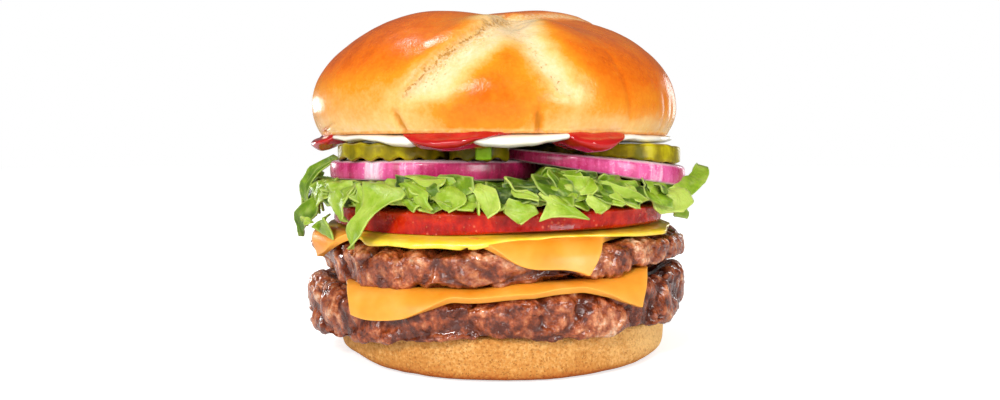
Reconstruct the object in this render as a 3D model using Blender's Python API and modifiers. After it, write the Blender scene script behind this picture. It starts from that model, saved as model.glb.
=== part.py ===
"""Double cheeseburger, standing on its heel.

Metres, +Z up, the side with the hanging cheese corners faces -Y.  The origin is on the flat
underside of the heel.  Every layer runs through the burger as one closed solid, and neighbours
keep a small gap.  Angles go round the stack from the front: 0 is -Y, positive turns towards +X.
"""

from math import asin, atan2, cos, degrees, exp, hypot, pi, radians, sin, sqrt

import bmesh
import bpy
from mathutils import Vector, noise

MM = 0.001
GAP = 0.3 * MM                        # clearance between neighbouring pieces

# ---- driving dimensions: heights of the layers, from the table up ----
HEEL_TOP = 11.4 * MM
PATTY_LOWER_HEIGHT = 8.2 * MM
PATTY_UPPER_HEIGHT = 9.4 * MM
CHEESE_THICKNESS = 1.7 * MM
MUSTARD_THICKNESS = 0.6 * MM
TOMATO_THICKNESS = 5.0 * MM
LETTUCE_THICKNESS = 5.1 * MM
ONION_THICKNESS = 5.2 * MM
PICKLE_THICKNESS = 3.6 * MM
SAUCE_THICKNESS = 1.6 * MM
CROWN_HEIGHT = 32.6 * MM

PATTY_LOWER_BASE = HEEL_TOP + GAP
PATTY_LOWER_TOP = PATTY_LOWER_BASE + PATTY_LOWER_HEIGHT
CHEESE_LOWER_BASE = PATTY_LOWER_TOP + GAP
PATTY_UPPER_BASE = CHEESE_LOWER_BASE + CHEESE_THICKNESS + GAP
PATTY_UPPER_TOP = PATTY_UPPER_BASE + PATTY_UPPER_HEIGHT
CHEESE_UPPER_BASE = PATTY_UPPER_TOP + GAP
MUSTARD_BASE = CHEESE_UPPER_BASE + CHEESE_THICKNESS + GAP
TOMATO_BASE = MUSTARD_BASE + MUSTARD_THICKNESS + GAP
LETTUCE_BASE = TOMATO_BASE + TOMATO_THICKNESS + GAP
LETTUCE_TOP = LETTUCE_BASE + LETTUCE_THICKNESS
ONION_BASE = LETTUCE_TOP + GAP
ONION_TOP = ONION_BASE + ONION_THICKNESS
PICKLE_BASE = ONION_TOP + GAP
PICKLE_TOP = PICKLE_BASE + PICKLE_THICKNESS
SAUCE_BASE = PICKLE_TOP + GAP
SAUCE_TOP = SAUCE_BASE + SAUCE_THICKNESS
CROWN_BASE = SAUCE_TOP + GAP
CROWN_TOP = CROWN_BASE + CROWN_HEIGHT

# ---- driving dimensions: widths ----
HEEL_RADIUS_X = 43.6 * MM
HEEL_RADIUS_Y = 46.5 * MM
HEEL_CENTRE = (1.2 * MM, 0.0)
PATTY_RADIUS = 51.3 * MM
CHEESE_SIDE = 88.0 * MM
TOMATO_RADIUS = 43.5 * MM
TOMATO_CENTRE = (0.0, -5.0 * MM)
CROWN_RADIUS = 49.0 * MM
CROWN_CENTRE = (-0.8 * MM, 0.0)


# ---------------------------------------------------------------------------------------------
# helpers
# ---------------------------------------------------------------------------------------------

def clamp(value, low, high):
    return max(low, min(high, value))


def smooth_step(low, high, value):
    """0 below low, 1 above high, an S-curve between; low may be the larger one."""
    share = clamp((value - low) / (high - low), 0.0, 1.0)
    return share * share * (3.0 - 2.0 * share)


def turn_towards(angle):
    """Unit direction in plan for an angle counted from the front."""
    return sin(angle), -cos(angle)


def angle_between(first, second):
    """Smallest signed turn from second to first."""
    return (first - second + pi) % (2.0 * pi) - pi


def bump(angle, centre, half_width):
    """A rounded hill of height 1 round one angle; widths in degrees."""
    away = abs(degrees(angle_between(angle, radians(centre)))) / half_width
    return 1.0 - smooth_step(0.0, 1.0, away)


def ragged(angle, amount, detail, seed):
    """Unevenness round a rim, the same each time."""
    side = Vector((detail * sin(angle), detail * cos(angle), seed))
    return amount * noise.noise(side)


def rim_profile(turn, squareness):
    """Superellipse: share of the radius and share of the half height at a turn of 0..1.

    Turn 0 is the middle of the underside, 0.5 the widest line, 1 the middle of the top.
    """
    latitude = (turn - 0.5) * pi
    reach = max(cos(latitude), 0.0) ** squareness
    height = abs(sin(latitude)) ** squareness
    height = min(1.04 * height, 1.0)            # the middle of both faces is truly flat
    return reach, height if latitude > 0.0 else -height


def material(name, colour, roughness):
    finish = bpy.data.materials.new(name)
    finish.use_nodes = True
    shader = finish.node_tree.nodes["Principled BSDF"]
    shader.inputs["Base Color"].default_value = (*colour, 1.0)
    shader.inputs["Roughness"].default_value = roughness
    shader.inputs["Metallic"].default_value = 0.0
    return finish


def add_piece(name, mesh, colour, roughness):
    mesh.shade_smooth()
    piece = bpy.data.objects.new(name, mesh)
    piece.data.materials.append(material(name, colour, roughness))
    burger.objects.link(piece)
    return piece


def round_piece(name, segments, rings, place, colour, roughness):
    """A closed round layer: a UV sphere whose points are moved by place(angle, turn)."""
    shape = bmesh.new()
    bmesh.ops.create_uvsphere(shape, u_segments=segments, v_segments=rings, radius=1.0)
    for point in shape.verts:
        angle = atan2(point.co.x, -point.co.y)
        turn = 0.5 + asin(clamp(point.co.z, -1.0, 1.0)) / pi
        point.co = place(angle, turn)
    mesh = bpy.data.meshes.new(name)
    shape.to_mesh(mesh)
    shape.free()
    return add_piece(name, mesh, colour, roughness)


def slice_place(centre, radius, bottom, top, squareness):
    """Place function of a slice; radius takes an angle, bottom and top take x and y."""
    def place(angle, turn):
        reach, height = rim_profile(turn, squareness)
        side = turn_towards(angle)
        x = centre[0] + radius(angle) * reach * side[0]
        y = centre[1] + radius(angle) * reach * side[1]
        low, high = bottom(x, y), top(x, y)
        return Vector((x, y, 0.5 * (low + high) + 0.5 * (high - low) * height))
    return place


# ---------------------------------------------------------------------------------------------
# heel
# ---------------------------------------------------------------------------------------------

def heel_radius(angle):
    oval = hypot(sin(angle) / HEEL_RADIUS_X, cos(angle) / HEEL_RADIUS_Y)
    return 1.0 / oval + ragged(angle, 0.5 * MM, 1.6, 3.0)


def build_heel():
    place = slice_place(HEEL_CENTRE, heel_radius, lambda x, y: 0.0, lambda x, y: HEEL_TOP, 0.30)
    round_piece("bun_heel", 40, 8, place, (0.79, 0.40, 0.12), 0.75)


# ---------------------------------------------------------------------------------------------
# patties
# ---------------------------------------------------------------------------------------------

def patty_radius(angle, seed):
    """Hand-pressed outline, a little fuller at the front corners."""
    corners = 0.8 * MM * (bump(angle, -42.0, 35.0) + bump(angle, 42.0, 35.0))
    return PATTY_RADIUS + corners + ragged(angle, 1.3 * MM, 2.2, seed)


def build_patty(name, base, height, seed, rim_sag):
    """Pressed mince with a lumpy rim; past the bun below it the underside of the rim sags."""
    middle = base + 0.5 * height

    def place(angle, turn):
        reach, share = rim_profile(turn, 0.46)
        side = turn_towards(angle)
        rim = smooth_step(0.80, 0.97, reach)
        radius = patty_radius(angle, seed) * reach
        z = middle + 0.5 * height * share
        lumps = Vector((9.0 * side[0], 9.0 * side[1], 4.0 * share + seed))
        radius += 0.5 * MM * rim * noise.noise(lumps)
        if share < 0.0:
            past_bun = smooth_step(HEEL_RADIUS_Y + 0.6 * MM, HEEL_RADIUS_Y + 3.4 * MM, radius)
            z -= rim_sag * past_bun
        return Vector((radius * side[0], radius * side[1], z))

    round_piece(name, 48, 12, place, (0.22, 0.075, 0.040), 0.45)


# ---------------------------------------------------------------------------------------------
# cheese slices
# ---------------------------------------------------------------------------------------------

HANG_OUT = 6.6 * MM                   # how far a hanging edge comes to stand out
RIM_INSET = 2.2 * MM                  # where a slice starts to bend, inside the patty's rim


def hang_drop(over):
    """How far a slice has dropped after running this far past the bend."""
    return 0.82 * over * over / (over + 4.6 * MM)


def drape_radial(x, y, seed):
    """A point of a flat slice, bent over the patty's rim where it passes it."""
    angle = atan2(x, -y)
    bend = patty_radius(angle, seed) - RIM_INSET
    over = max(hypot(x, y) - bend, 0.0)
    if over == 0.0:
        return x, y, 0.0
    radius = bend + HANG_OUT * (1.0 - exp(-over / HANG_OUT))
    side = turn_towards(angle)
    return radius * side[0], radius * side[1], hang_drop(over)


def drape_forward(x, y, seed):
    """The same for a slice whose front runs straight forward over the rim."""
    if y > 0.0:
        return drape_radial(x, y, seed)
    bend = patty_radius(asin(clamp(x / PATTY_RADIUS, -0.95, 0.95)), seed) - RIM_INSET
    depth = sqrt(bend * bend - x * x)
    over = max(-y - depth, 0.0)
    if over == 0.0:
        return x, y, 0.0
    slant = HANG_OUT * bend / depth
    return x, -depth - slant * (1.0 - exp(-over / slant)), hang_drop(over)


def build_cheese(name, base, lay, drape, seed):
    """A thin slice: a flat grid is laid out, draped over the patty and given its thickness."""
    sheet = bmesh.new()
    bmesh.ops.create_grid(sheet, x_segments=12, y_segments=12, size=1.0)
    for point in sheet.verts:
        x, y = lay(point.co.x, point.co.y)
        x, y, drop = drape(x, y, seed)
        point.co = Vector((x, y, base - drop))
    mesh = bpy.data.meshes.new(name)
    sheet.to_mesh(mesh)
    sheet.free()
    slice_piece = add_piece(name, mesh, (0.98, 0.53, 0.11), 0.35)
    wall = slice_piece.modifiers.new("thickness", "SOLIDIFY")
    wall.thickness = CHEESE_THICKNESS
    wall.offset = 1.0


def lay_lower_slice(u, v):
    """Square to the front; the front is drawn in and hangs lowest at its two corners."""
    front_half = 35.2 * MM
    back_half = 0.5 * CHEESE_SIDE
    length = CHEESE_SIDE
    x_front = u * front_half
    hang = 3.2 * MM
    hang += 4.4 * MM * smooth_step(-8.0 * MM, -20.0 * MM, x_front)
    hang += 4.4 * MM * smooth_step(-25.0 * MM, -36.0 * MM, x_front)
    hang += 7.0 * MM * smooth_step(17.0 * MM, 36.0 * MM, x_front)
    bend = PATTY_RADIUS - RIM_INSET
    front_edge = -sqrt(bend * bend - x_front * x_front) - hang
    back_edge = length - PATTY_RADIUS
    share = 0.5 * (v + 1.0)
    y = front_edge + share * (back_edge - front_edge)
    widen = smooth_step(-32.0 * MM, 0.0, y)
    return u * (front_half + widen * (back_half - front_half)), y


def lay_upper_slice(u, v):
    """Turned so that one corner hangs right of the front and one at the left."""
    turn = radians(16.0)
    slide = (-0.8 * MM, -2.7 * MM)
    half = 0.5 * CHEESE_SIDE
    x = half * (u * cos(turn) + v * sin(turn))
    y = half * (v * cos(turn) - u * sin(turn))
    return x + slide[0], y + slide[1]


# ---------------------------------------------------------------------------------------------
# mustard, tomato
# ---------------------------------------------------------------------------------------------

def build_mustard():
    """A thin spread that runs out over the edge of the cheese at the front left."""
    lip_drop = 1.0 * MM

    def place(angle, turn):
        lip = bump(angle, -18.0, 22.0)
        reach, share = rim_profile(turn, 0.25)
        side = turn_towards(angle)
        radius = 46.8 * MM + 3.4 * MM * lip + ragged(angle, 1.0 * MM, 3.0, 11.0)
        z = MUSTARD_BASE + 0.5 * MUSTARD_THICKNESS * (1.0 + share)
        z -= lip_drop * lip * smooth_step(0.985, 1.0, reach)
        return Vector((radius * reach * side[0], radius * reach * side[1], z))

    round_piece("mustard", 36, 6, place, (0.93, 0.66, 0.04), 0.3)


def tomato_radius(angle):
    return TOMATO_RADIUS + 0.5 * MM * cos(3.0 * angle + 0.6)


def build_tomato():
    place = slice_place(TOMATO_CENTRE, tomato_radius, lambda x, y: TOMATO_BASE,
                        lambda x, y: TOMATO_BASE + TOMATO_THICKNESS, 0.22)
    round_piece("tomato_slice", 40, 6, place, (0.70, 0.045, 0.020), 0.25)


# ---------------------------------------------------------------------------------------------
# red onion: three slices, the right one leaning over the left one
# ---------------------------------------------------------------------------------------------

ONION_LEFT = (-15.4 * MM, -11.0 * MM, 28.3 * MM)      # centre x, centre y, radius
ONION_RIGHT = (23.4 * MM, -12.0 * MM, 25.6 * MM)
ONION_BACK = (4.0 * MM, 32.5 * MM, 16.8 * MM)
ONION_RIGHT_BASE = 51.2 * MM                          # underside of the leaning slice at x = 0
ONION_RIGHT_SLOPE = 0.160
ONION_RIGHT_WEDGE = 0.064                             # it is cut thicker towards the right
ONION_RIGHT_THIN = 2.7 * MM


def leaning_bottom(x):
    return ONION_RIGHT_BASE - ONION_RIGHT_SLOPE * x


def leaning_top(x):
    return leaning_bottom(x) + ONION_RIGHT_THIN + ONION_RIGHT_WEDGE * x


def under_leaning(height):
    """A top face that gives way where the leaning slice lies on it."""
    return lambda x, y: min(height, leaning_bottom(x) - 1.5 * GAP)


def build_onions():
    shapes = {
        "onion_left": (ONION_LEFT, lambda x, y: ONION_BASE, under_leaning(ONION_TOP)),
        "onion_right": (ONION_RIGHT, lambda x, y: leaning_bottom(x), lambda x, y: leaning_top(x)),
        "onion_back": (ONION_BACK, lambda x, y: ONION_BASE, lambda x, y: ONION_TOP),
    }
    for name, ((x, y, radius), bottom, top) in shapes.items():
        place = slice_place((x, y), lambda angle, r=radius: r, bottom, top, 0.20)
        round_piece(name, 28, 6, place, (0.52, 0.075, 0.22), 0.3)


# ---------------------------------------------------------------------------------------------
# lettuce
# ---------------------------------------------------------------------------------------------

def tomato_reach(angle):
    """Distance from the stack's axis to the tomato's rim."""
    side = turn_towards(angle)
    along = side[0] * TOMATO_CENTRE[0] + side[1] * TOMATO_CENTRE[1]
    across = hypot(*TOMATO_CENTRE) ** 2 - (TOMATO_RADIUS + 0.5 * MM) ** 2
    return along + sqrt(along * along - across)


def build_lettuce():
    """Chopped leaf out to its uneven outline: a flat bed with a ragged skirt round the tomato."""

    def place(angle, turn):
        side = turn_towards(angle)
        inner = tomato_reach(angle) + 0.9 * MM
        outer = max(inner + 3.4 * MM, 49.0 * MM) + ragged(angle, 2.2 * MM, 5.0, 21.0)
        outer += 6.0 * MM * bump(angle, -88.0, 22.0) + 8.0 * MM * bump(angle, 88.0, 22.0)
        low = LETTUCE_BASE - 2.2 * MM + ragged(angle, 2.4 * MM, 6.0, 7.0)
        low -= 5.5 * MM * bump(angle, -46.0, 22.0) + 4.0 * MM * bump(angle, -88.0, 20.0)
        low = max(low - 1.5 * MM * bump(angle, 80.0, 22.0), TOMATO_BASE + GAP)
        lift = 3.4 * MM * (bump(angle, 106.0, 26.0) + bump(angle, -90.0, 30.0))
        lift -= 1.8 * MM * bump(angle, 68.0, 30.0)
        lift += 2.0 * MM * (bump(angle, 140.0, 25.0) + bump(angle, -150.0, 25.0))
        right = bump(angle, 85.0, 60.0)
        shoulder = LETTUCE_TOP - 3.8 * MM * right
        stations = [
            (0.0, LETTUCE_BASE),
            (0.6 * inner, LETTUCE_BASE),
            (inner, LETTUCE_BASE),
            (inner + 0.6 * MM, low),
            (outer - 0.8 * MM, low + 0.6 * MM),
            (outer, LETTUCE_TOP - 2.0 * MM + lift),
            (outer - 3.4 * MM - 1.5 * MM * right, shoulder),
            (0.55 * outer, LETTUCE_TOP),
            (0.0, LETTUCE_TOP),
        ]
        radius, z = stations[round(turn * (len(stations) - 1))]
        return Vector((radius * side[0], radius * side[1], z))

    round_piece("lettuce", 72, 8, place, (0.36, 0.60, 0.09), 0.4)


# ---------------------------------------------------------------------------------------------
# pickles
# ---------------------------------------------------------------------------------------------

def build_pickles():
    """Crinkle-cut chips on the onions; the right one follows the leaning slice below it."""
    chips = {
        "pickle_left": (-25.5, -23.0, 14.2),
        "pickle_middle": (-4.2, -31.0, 7.2),
        "pickle_back_left": (-14.0, 18.0, 15.0),
        "pickle_back_right": (15.2, 27.2, 13.9),
    }
    for name, (x, y, radius) in chips.items():
        place = slice_place((x * MM, y * MM), lambda angle, r=radius: r * MM,
                            lambda px, py: PICKLE_BASE, lambda px, py: PICKLE_TOP, 0.24)
        round_piece(name, 16, 6, place, (0.45, 0.38, 0.02), 0.3)

    def low(x, y):
        return leaning_top(x) + 1.5 * GAP

    def high(x, y):
        return min(low(x, y) + 4.5 * MM, PICKLE_TOP)

    place = slice_place((32.2 * MM, -18.0 * MM), lambda angle: 14.5 * MM, low, high, 0.24)
    round_piece("pickle_right", 16, 6, place, (0.45, 0.38, 0.02), 0.3)


# ---------------------------------------------------------------------------------------------
# sauces
# ---------------------------------------------------------------------------------------------

# ketchup dollops: angle of the middle, half of the width, drop of the lip
KETCHUP_DOLLOPS = {
    "ketchup_left": (-68.0, 8.0 * MM, 0.0),
    "ketchup_front": (-18.0, 10.5 * MM, 2.2 * MM),
    "ketchup_right": (29.5, 8.2 * MM, 2.0 * MM),
    "ketchup_back": (158.0, 10.0 * MM, 0.0),
}
DOLLOP_RADIUS = 38.5 * MM                             # distance of a dollop from the axis
DOLLOP_DEPTH = 8.0 * MM                               # half of its extent along the radius


def build_mayonnaise():
    """A spread under the crown with rounded bays where the ketchup comes through."""

    def place(angle, turn):
        reach, share = rim_profile(turn, 0.30)
        side = turn_towards(angle)
        radius = 45.2 * MM + ragged(angle, 1.2 * MM, 3.5, 31.0)
        for middle, half_width, _ in KETCHUP_DOLLOPS.values():
            opening = degrees(half_width / DOLLOP_RADIUS)
            bay = bump(angle, middle, 2.0 * opening + 6.0)
            radius -= min(1.9 * bay, 1.0) * 18.5 * MM
        z = SAUCE_BASE + 0.5 * SAUCE_THICKNESS * (1.0 + share)
        return Vector((radius * reach * side[0], radius * reach * side[1], z))

    round_piece("mayonnaise", 60, 6, place, (0.90, 0.83, 0.68), 0.2)


def build_ketchup():
    for name, (middle, half_width, lip_drop) in KETCHUP_DOLLOPS.items():
        out = turn_towards(radians(middle))
        along = (-out[1], out[0])

        def place(angle, turn):
            reach, share = rim_profile(turn, 0.45)
            across = half_width * reach * sin(angle)
            radial = DOLLOP_DEPTH * reach * cos(angle)
            x = out[0] * (DOLLOP_RADIUS + radial) + along[0] * across
            y = out[1] * (DOLLOP_RADIUS + radial) + along[1] * across
            z = SAUCE_BASE + 0.5 * SAUCE_THICKNESS * (1.0 + share)
            if share < 0.9:
                z -= lip_drop * smooth_step(0.55 * DOLLOP_DEPTH, DOLLOP_DEPTH, radial)
            return Vector((x, y, z))

        round_piece(name, 14, 6, place, (0.50, 0.015, 0.015), 0.15)


# ---------------------------------------------------------------------------------------------
# crown
# ---------------------------------------------------------------------------------------------

CROWN_WAIST = CROWN_BASE + 4.0 * MM                   # height where the crown is widest
CROWN_FULLNESS = 2.35                                 # exponent of the dome's profile
SEAM_CROSSING = (3.0 * MM, -17.0 * MM)                # where the four seams meet, in plan


def seam_angles(height_share):
    """Directions of the four seams round their crossing, at a share of the dome's height."""
    return (
        radians(-41.0 + 42.0 * height_share),         # front left, swings round as it rises
        radians(23.6 - 25.0 * height_share),          # front right
        radians(153.0 - 33.0 * height_share),         # back right
        radians(-160.0 + 15.0 * height_share),        # back left
    )


def groove_depth(x, y, height_share):
    """Depth of the creases between the four lobes at a place on the dome."""
    away_x = x - SEAM_CROSSING[0]
    away_y = y - SEAM_CROSSING[1]
    distance = hypot(away_x, away_y)
    angle = atan2(away_x, -away_y)
    depth = 0.0
    for seam in seam_angles(height_share):
        off = distance * abs(angle_between(angle, seam))
        depth = max(depth, exp(-(off / (4.5 * MM)) ** 2))
    fade = 0.35 + 0.65 * smooth_step(0.0, 0.45, height_share)
    return 2.2 * MM * depth * fade


def build_crown():
    """Four-lobed dome with a tucked-in, flat underside."""

    def place(angle, turn):
        side = turn_towards(angle)
        under = 0.20                                   # share of the turn that is the underside
        if turn <= under + 1e-6:
            radius = 0.955 * CROWN_RADIUS * turn / under
            return Vector((CROWN_CENTRE[0] + radius * side[0], radius * side[1], CROWN_BASE))
        climb = (turn - under) / (1.0 - under)
        if climb < 0.15:
            share = climb / 0.15
            radius = CROWN_RADIUS * (1.0 - 0.02 * (1.0 - share) ** 2)
            z = CROWN_BASE + (0.12 + 0.88 * share) * (CROWN_WAIST - CROWN_BASE)
        else:
            latitude = 0.5 * pi * (climb - 0.15) / 0.85
            squareness = 2.0 / CROWN_FULLNESS
            radius = CROWN_RADIUS * max(cos(latitude), 0.0) ** squareness
            z = CROWN_WAIST + (CROWN_TOP - CROWN_WAIST) * sin(latitude) ** squareness
        x, y = radius * side[0], radius * side[1]
        height_share = (z - CROWN_WAIST) / (CROWN_TOP - CROWN_WAIST)
        depth = groove_depth(x, y, clamp(height_share, 0.0, 1.0))
        steep = 1.0 - clamp(height_share, 0.0, 1.0) ** 3
        radius -= depth * steep
        z -= depth * (1.0 - steep)
        return Vector((CROWN_CENTRE[0] + radius * side[0], radius * side[1], z))

    round_piece("bun_crown", 44, 18, place, (0.80, 0.33, 0.06), 0.35)


# ---------------------------------------------------------------------------------------------
# the whole burger
# ---------------------------------------------------------------------------------------------

for old in list(bpy.data.objects):
    bpy.data.objects.remove(old, do_unlink=True)

burger = bpy.data.collections.new("double_cheeseburger")
bpy.context.scene.collection.children.link(burger)

LOWER_SEED = 5.0
UPPER_SEED = 9.0

build_heel()
build_patty("patty_lower", PATTY_LOWER_BASE, PATTY_LOWER_HEIGHT, LOWER_SEED, 2.3 * MM)
build_cheese("cheese_lower", CHEESE_LOWER_BASE, lay_lower_slice, drape_forward, LOWER_SEED)
build_patty("patty_upper", PATTY_UPPER_BASE, PATTY_UPPER_HEIGHT, UPPER_SEED, 0.0)
build_cheese("cheese_upper", CHEESE_UPPER_BASE, lay_upper_slice, drape_radial, UPPER_SEED)
build_mustard()
build_tomato()
build_lettuce()
build_onions()
build_pickles()
build_mayonnaise()
build_ketchup()
build_crown()
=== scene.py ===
"""Looks of the double cheeseburger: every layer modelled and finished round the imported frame.

Metres, +Z up, the front faces -Y.  Angles go round the stack from the front, positive to +X.
"""

import logging
from dataclasses import dataclass
from enum import Enum
from itertools import product
from math import cos, pi, radians, sin
from typing import Callable, Sequence

import bmesh
import bpy
import numpy as np
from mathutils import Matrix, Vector
from mathutils.bvhtree import BVHTree

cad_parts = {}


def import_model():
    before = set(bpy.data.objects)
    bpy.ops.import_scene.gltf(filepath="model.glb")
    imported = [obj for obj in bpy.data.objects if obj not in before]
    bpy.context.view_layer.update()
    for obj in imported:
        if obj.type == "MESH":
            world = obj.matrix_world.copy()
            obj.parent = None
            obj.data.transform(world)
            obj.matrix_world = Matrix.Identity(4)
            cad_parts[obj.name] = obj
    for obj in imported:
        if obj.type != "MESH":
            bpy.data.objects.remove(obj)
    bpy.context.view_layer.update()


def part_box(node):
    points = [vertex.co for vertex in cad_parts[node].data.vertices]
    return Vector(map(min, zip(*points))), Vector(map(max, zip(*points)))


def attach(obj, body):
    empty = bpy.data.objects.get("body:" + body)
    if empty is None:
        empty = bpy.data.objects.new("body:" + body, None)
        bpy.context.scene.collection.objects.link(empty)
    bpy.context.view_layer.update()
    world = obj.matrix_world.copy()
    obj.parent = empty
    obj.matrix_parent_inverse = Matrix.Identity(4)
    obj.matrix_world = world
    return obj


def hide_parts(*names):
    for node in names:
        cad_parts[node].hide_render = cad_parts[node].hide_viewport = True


MM = 0.001
BODY = "root"
log = logging.getLogger("burger")
Array = np.ndarray
Socket = bpy.types.NodeSocket
Material = bpy.types.Material
Colour = tuple[float, float, float]
Triple = tuple[float, float, float]
Stops = Sequence[tuple[float, float]]


class Slot(Enum):
    """Material slots of the record."""

    GLAZED_CRUST = "bun_glazed_crust"
    CRUMB_CRUST = "bun_crumb_crust"
    BEEF = "beef"
    CHEESE = "cheese"
    MUSTARD = "mustard"
    TOMATO = "tomato"
    LETTUCE = "lettuce"
    ONION = "red_onion"
    PICKLE = "pickle"
    MAYONNAISE = "mayonnaise"
    KETCHUP = "ketchup"


class Seam(Enum):
    """The crown's seams, by where they run from their crossing."""

    FRONT_LEFT = 0
    FRONT_RIGHT = 1
    BACK_RIGHT = 2
    BACK_LEFT = 3


# heights and places that neighbouring layers share
BED_LOW = 40.2 * MM
BED_TOP = 45.2 * MM
ONION_LOW = 45.5 * MM
ONION_HIGH = 50.7 * MM
PICKLE_LOW = 50.5 * MM
PICKLE_HIGH = 54.9 * MM
LEFT_ONION = (-15.4 * MM, -11 * MM, 27.7 * MM)      # middle in plan, and radius
BACK_ONION = (4 * MM, 32.5 * MM, 16.6 * MM)
SEAM_SPAN = 24.0                                    # width in mm that a seam's mark covers
SAUCE_GAP = 0.12 * MM                               # left between a sauce and what it lies on
SEARCH = 3 * MM                                     # how far from a sauce other pieces are looked for


# ---------------------------------------------------------------------------------------------
# arithmetic on arrays
# ---------------------------------------------------------------------------------------------

def paint(red: int, green: int, blue: int) -> Colour:
    """Linear colour of a paint given in display values 0 to 255.

    Args:
        red: Red, 0 to 255.
        green: Green, 0 to 255.
        blue: Blue, 0 to 255.

    Returns:
        The colour.
    """
    def linear(value: int) -> float:
        """Linear share of one display value."""
        share = value / 255.0
        return share / 12.92 if share <= 0.04045 else ((share + 0.055) / 1.055) ** 2.4
    return linear(red), linear(green), linear(blue)


def ease(low: float, high: float, value: Array) -> Array:
    """S-curve from 0 at low to 1 at high; low may be the larger one."""
    share = np.clip((value - low) / (high - low), 0.0, 1.0)
    return share * share * (3.0 - 2.0 * share)


def bell(value: Array, centre: float, width: float) -> Array:
    """Rounded hill of height 1 at centre."""
    return np.exp(-((value - centre) / width) ** 2)


def wrapped(angle: Array) -> Array:
    """Angles brought to -pi..pi."""
    return (angle + pi) % (2.0 * pi) - pi


def around(angle: Array, centre: float, width: float) -> Array:
    """Rounded hill of height 1 round one direction.

    Args:
        angle: Directions in radians.
        centre: Direction of the hill, in degrees.
        width: Half width of the hill, in degrees.

    Returns:
        The height of the hill at each direction.
    """
    away = np.abs(np.degrees(wrapped(angle - radians(centre)))) / width
    return 1.0 - ease(0.0, 1.0, away)


def round_points(angle: Array, radius: Array, z: Array, x: float = 0.0, y: float = 0.0) -> Array:
    """Places round an upright axis at (x, y); angles count from the front."""
    return np.column_stack((x + radius * np.sin(angle), y - radius * np.cos(angle), z))


def rim_key(angle: Array, size: float, level: Array | float = 0.0) -> Array:
    """Places on a rim, which noise along that rim is read at."""
    return np.column_stack((np.sin(angle), -np.cos(angle), np.full(len(angle), level))) * size


def between(low: Array, high: Array, share: Array) -> Array:
    """Heights from low to high as the share goes from -1 to 1."""
    return 0.5 * (low + high) + 0.5 * (high - low) * share


def trace(angle: Array, stops: Stops) -> Array:
    """Smooth closed curve through values given at directions.

    Args:
        angle: Directions in radians.
        stops: Pairs of a direction in degrees and a value, in order, within one turn.

    Returns:
        The value at each direction.
    """
    at = np.array([stop[0] for stop in stops])
    value = np.array([stop[1] for stop in stops])
    at = np.concatenate((at[-1:] - 360.0, at, at[:1] + 360.0))
    value = np.concatenate((value[-1:], value, value[:1]))
    turn = (np.degrees(angle) - at[0]) % 360.0 + at[0]
    after = np.clip(np.searchsorted(at, turn, side="right"), 1, len(at) - 1)
    share = ease(0.0, 1.0, (turn - at[after - 1]) / (at[after] - at[after - 1]))
    return value[after - 1] + share * (value[after] - value[after - 1])


class Grain:
    """Repeatable noise on arrays of points, with sizes in metres."""

    def __init__(self, seed: int) -> None:
        """Draws the tables that the noise is read from.

        Args:
            seed: Fixes the draw.
        """
        draw = np.random.default_rng(seed)
        self._order = np.tile(draw.permutation(256), 3)
        slopes = draw.normal(size=(256, 3))
        self._slopes = slopes / np.linalg.norm(slopes, axis=1, keepdims=True)
        self._spots = draw.random((256, 3))
        self._tones = draw.random(256)

    def _pick(self, cell: Array) -> Array:
        """Table row of each grid cell."""
        x, y, z = (cell & 255).T
        return self._order[self._order[self._order[x] + y] + z]

    def soft(self, points: Array, size: float) -> Array:
        """Smooth noise, about -1 to 1.

        Args:
            points: Places, one row each.
            size: Distance between hills.

        Returns:
            One value for each place.
        """
        scaled = points / size
        cell = np.floor(scaled).astype(np.int64)
        part = scaled - cell
        fade = part ** 3 * (part * (part * 6.0 - 15.0) + 10.0)
        total = np.zeros(len(points))
        for corner in product((0, 1), repeat=3):
            side = np.array(corner)
            weight = np.prod(np.where(side, fade, 1.0 - fade), axis=1)
            slope = self._slopes[self._pick(cell + side)]
            total += weight * np.einsum("ij,ij->i", slope, part - side)
        return 1.6 * total

    def layered(self, points: Array, size: float, octaves: int = 4, gain: float = 0.5) -> Array:
        """Smooth noise with finer and finer detail laid over it.

        Args:
            points: Places, one row each.
            size: Distance between the largest hills.
            octaves: How many layers, each half the size of the last.
            gain: Height of each layer against the last.

        Returns:
            One value for each place, about -1 to 1.
        """
        total, height, reach = np.zeros(len(points)), 1.0, 0.0
        for octave in range(octaves):
            total += height * self.soft(points + 17.0 * octave * size, size / 2 ** octave)
            reach += height
            height *= gain
        return total / reach

    def cells(self, points: Array, size: float) -> tuple[Array, Array, Array]:
        """Pebble pattern.

        Args:
            points: Places, one row each.
            size: Mean distance between pebbles.

        Returns:
            Distance to the nearest pebble's middle and to the second nearest, in pebble sizes,
            and a tone of 0 to 1 that each pebble keeps.
        """
        scaled = points / size
        cell = np.floor(scaled).astype(np.int64)
        nearest = np.full(len(points), 9.0)
        second = np.full(len(points), 9.0)
        tone = np.zeros(len(points))
        for offset in product((-1, 0, 1), repeat=3):
            here = cell + np.array(offset)
            row = self._pick(here)
            away = np.linalg.norm(here + self._spots[row] - scaled, axis=1)
            closer = away < nearest
            second = np.where(closer, nearest, np.minimum(second, away))
            tone = np.where(closer, self._tones[row], tone)
            nearest = np.where(closer, away, nearest)
        return nearest, second, tone


# ---------------------------------------------------------------------------------------------
# meshes worked on as arrays
# ---------------------------------------------------------------------------------------------

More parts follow.
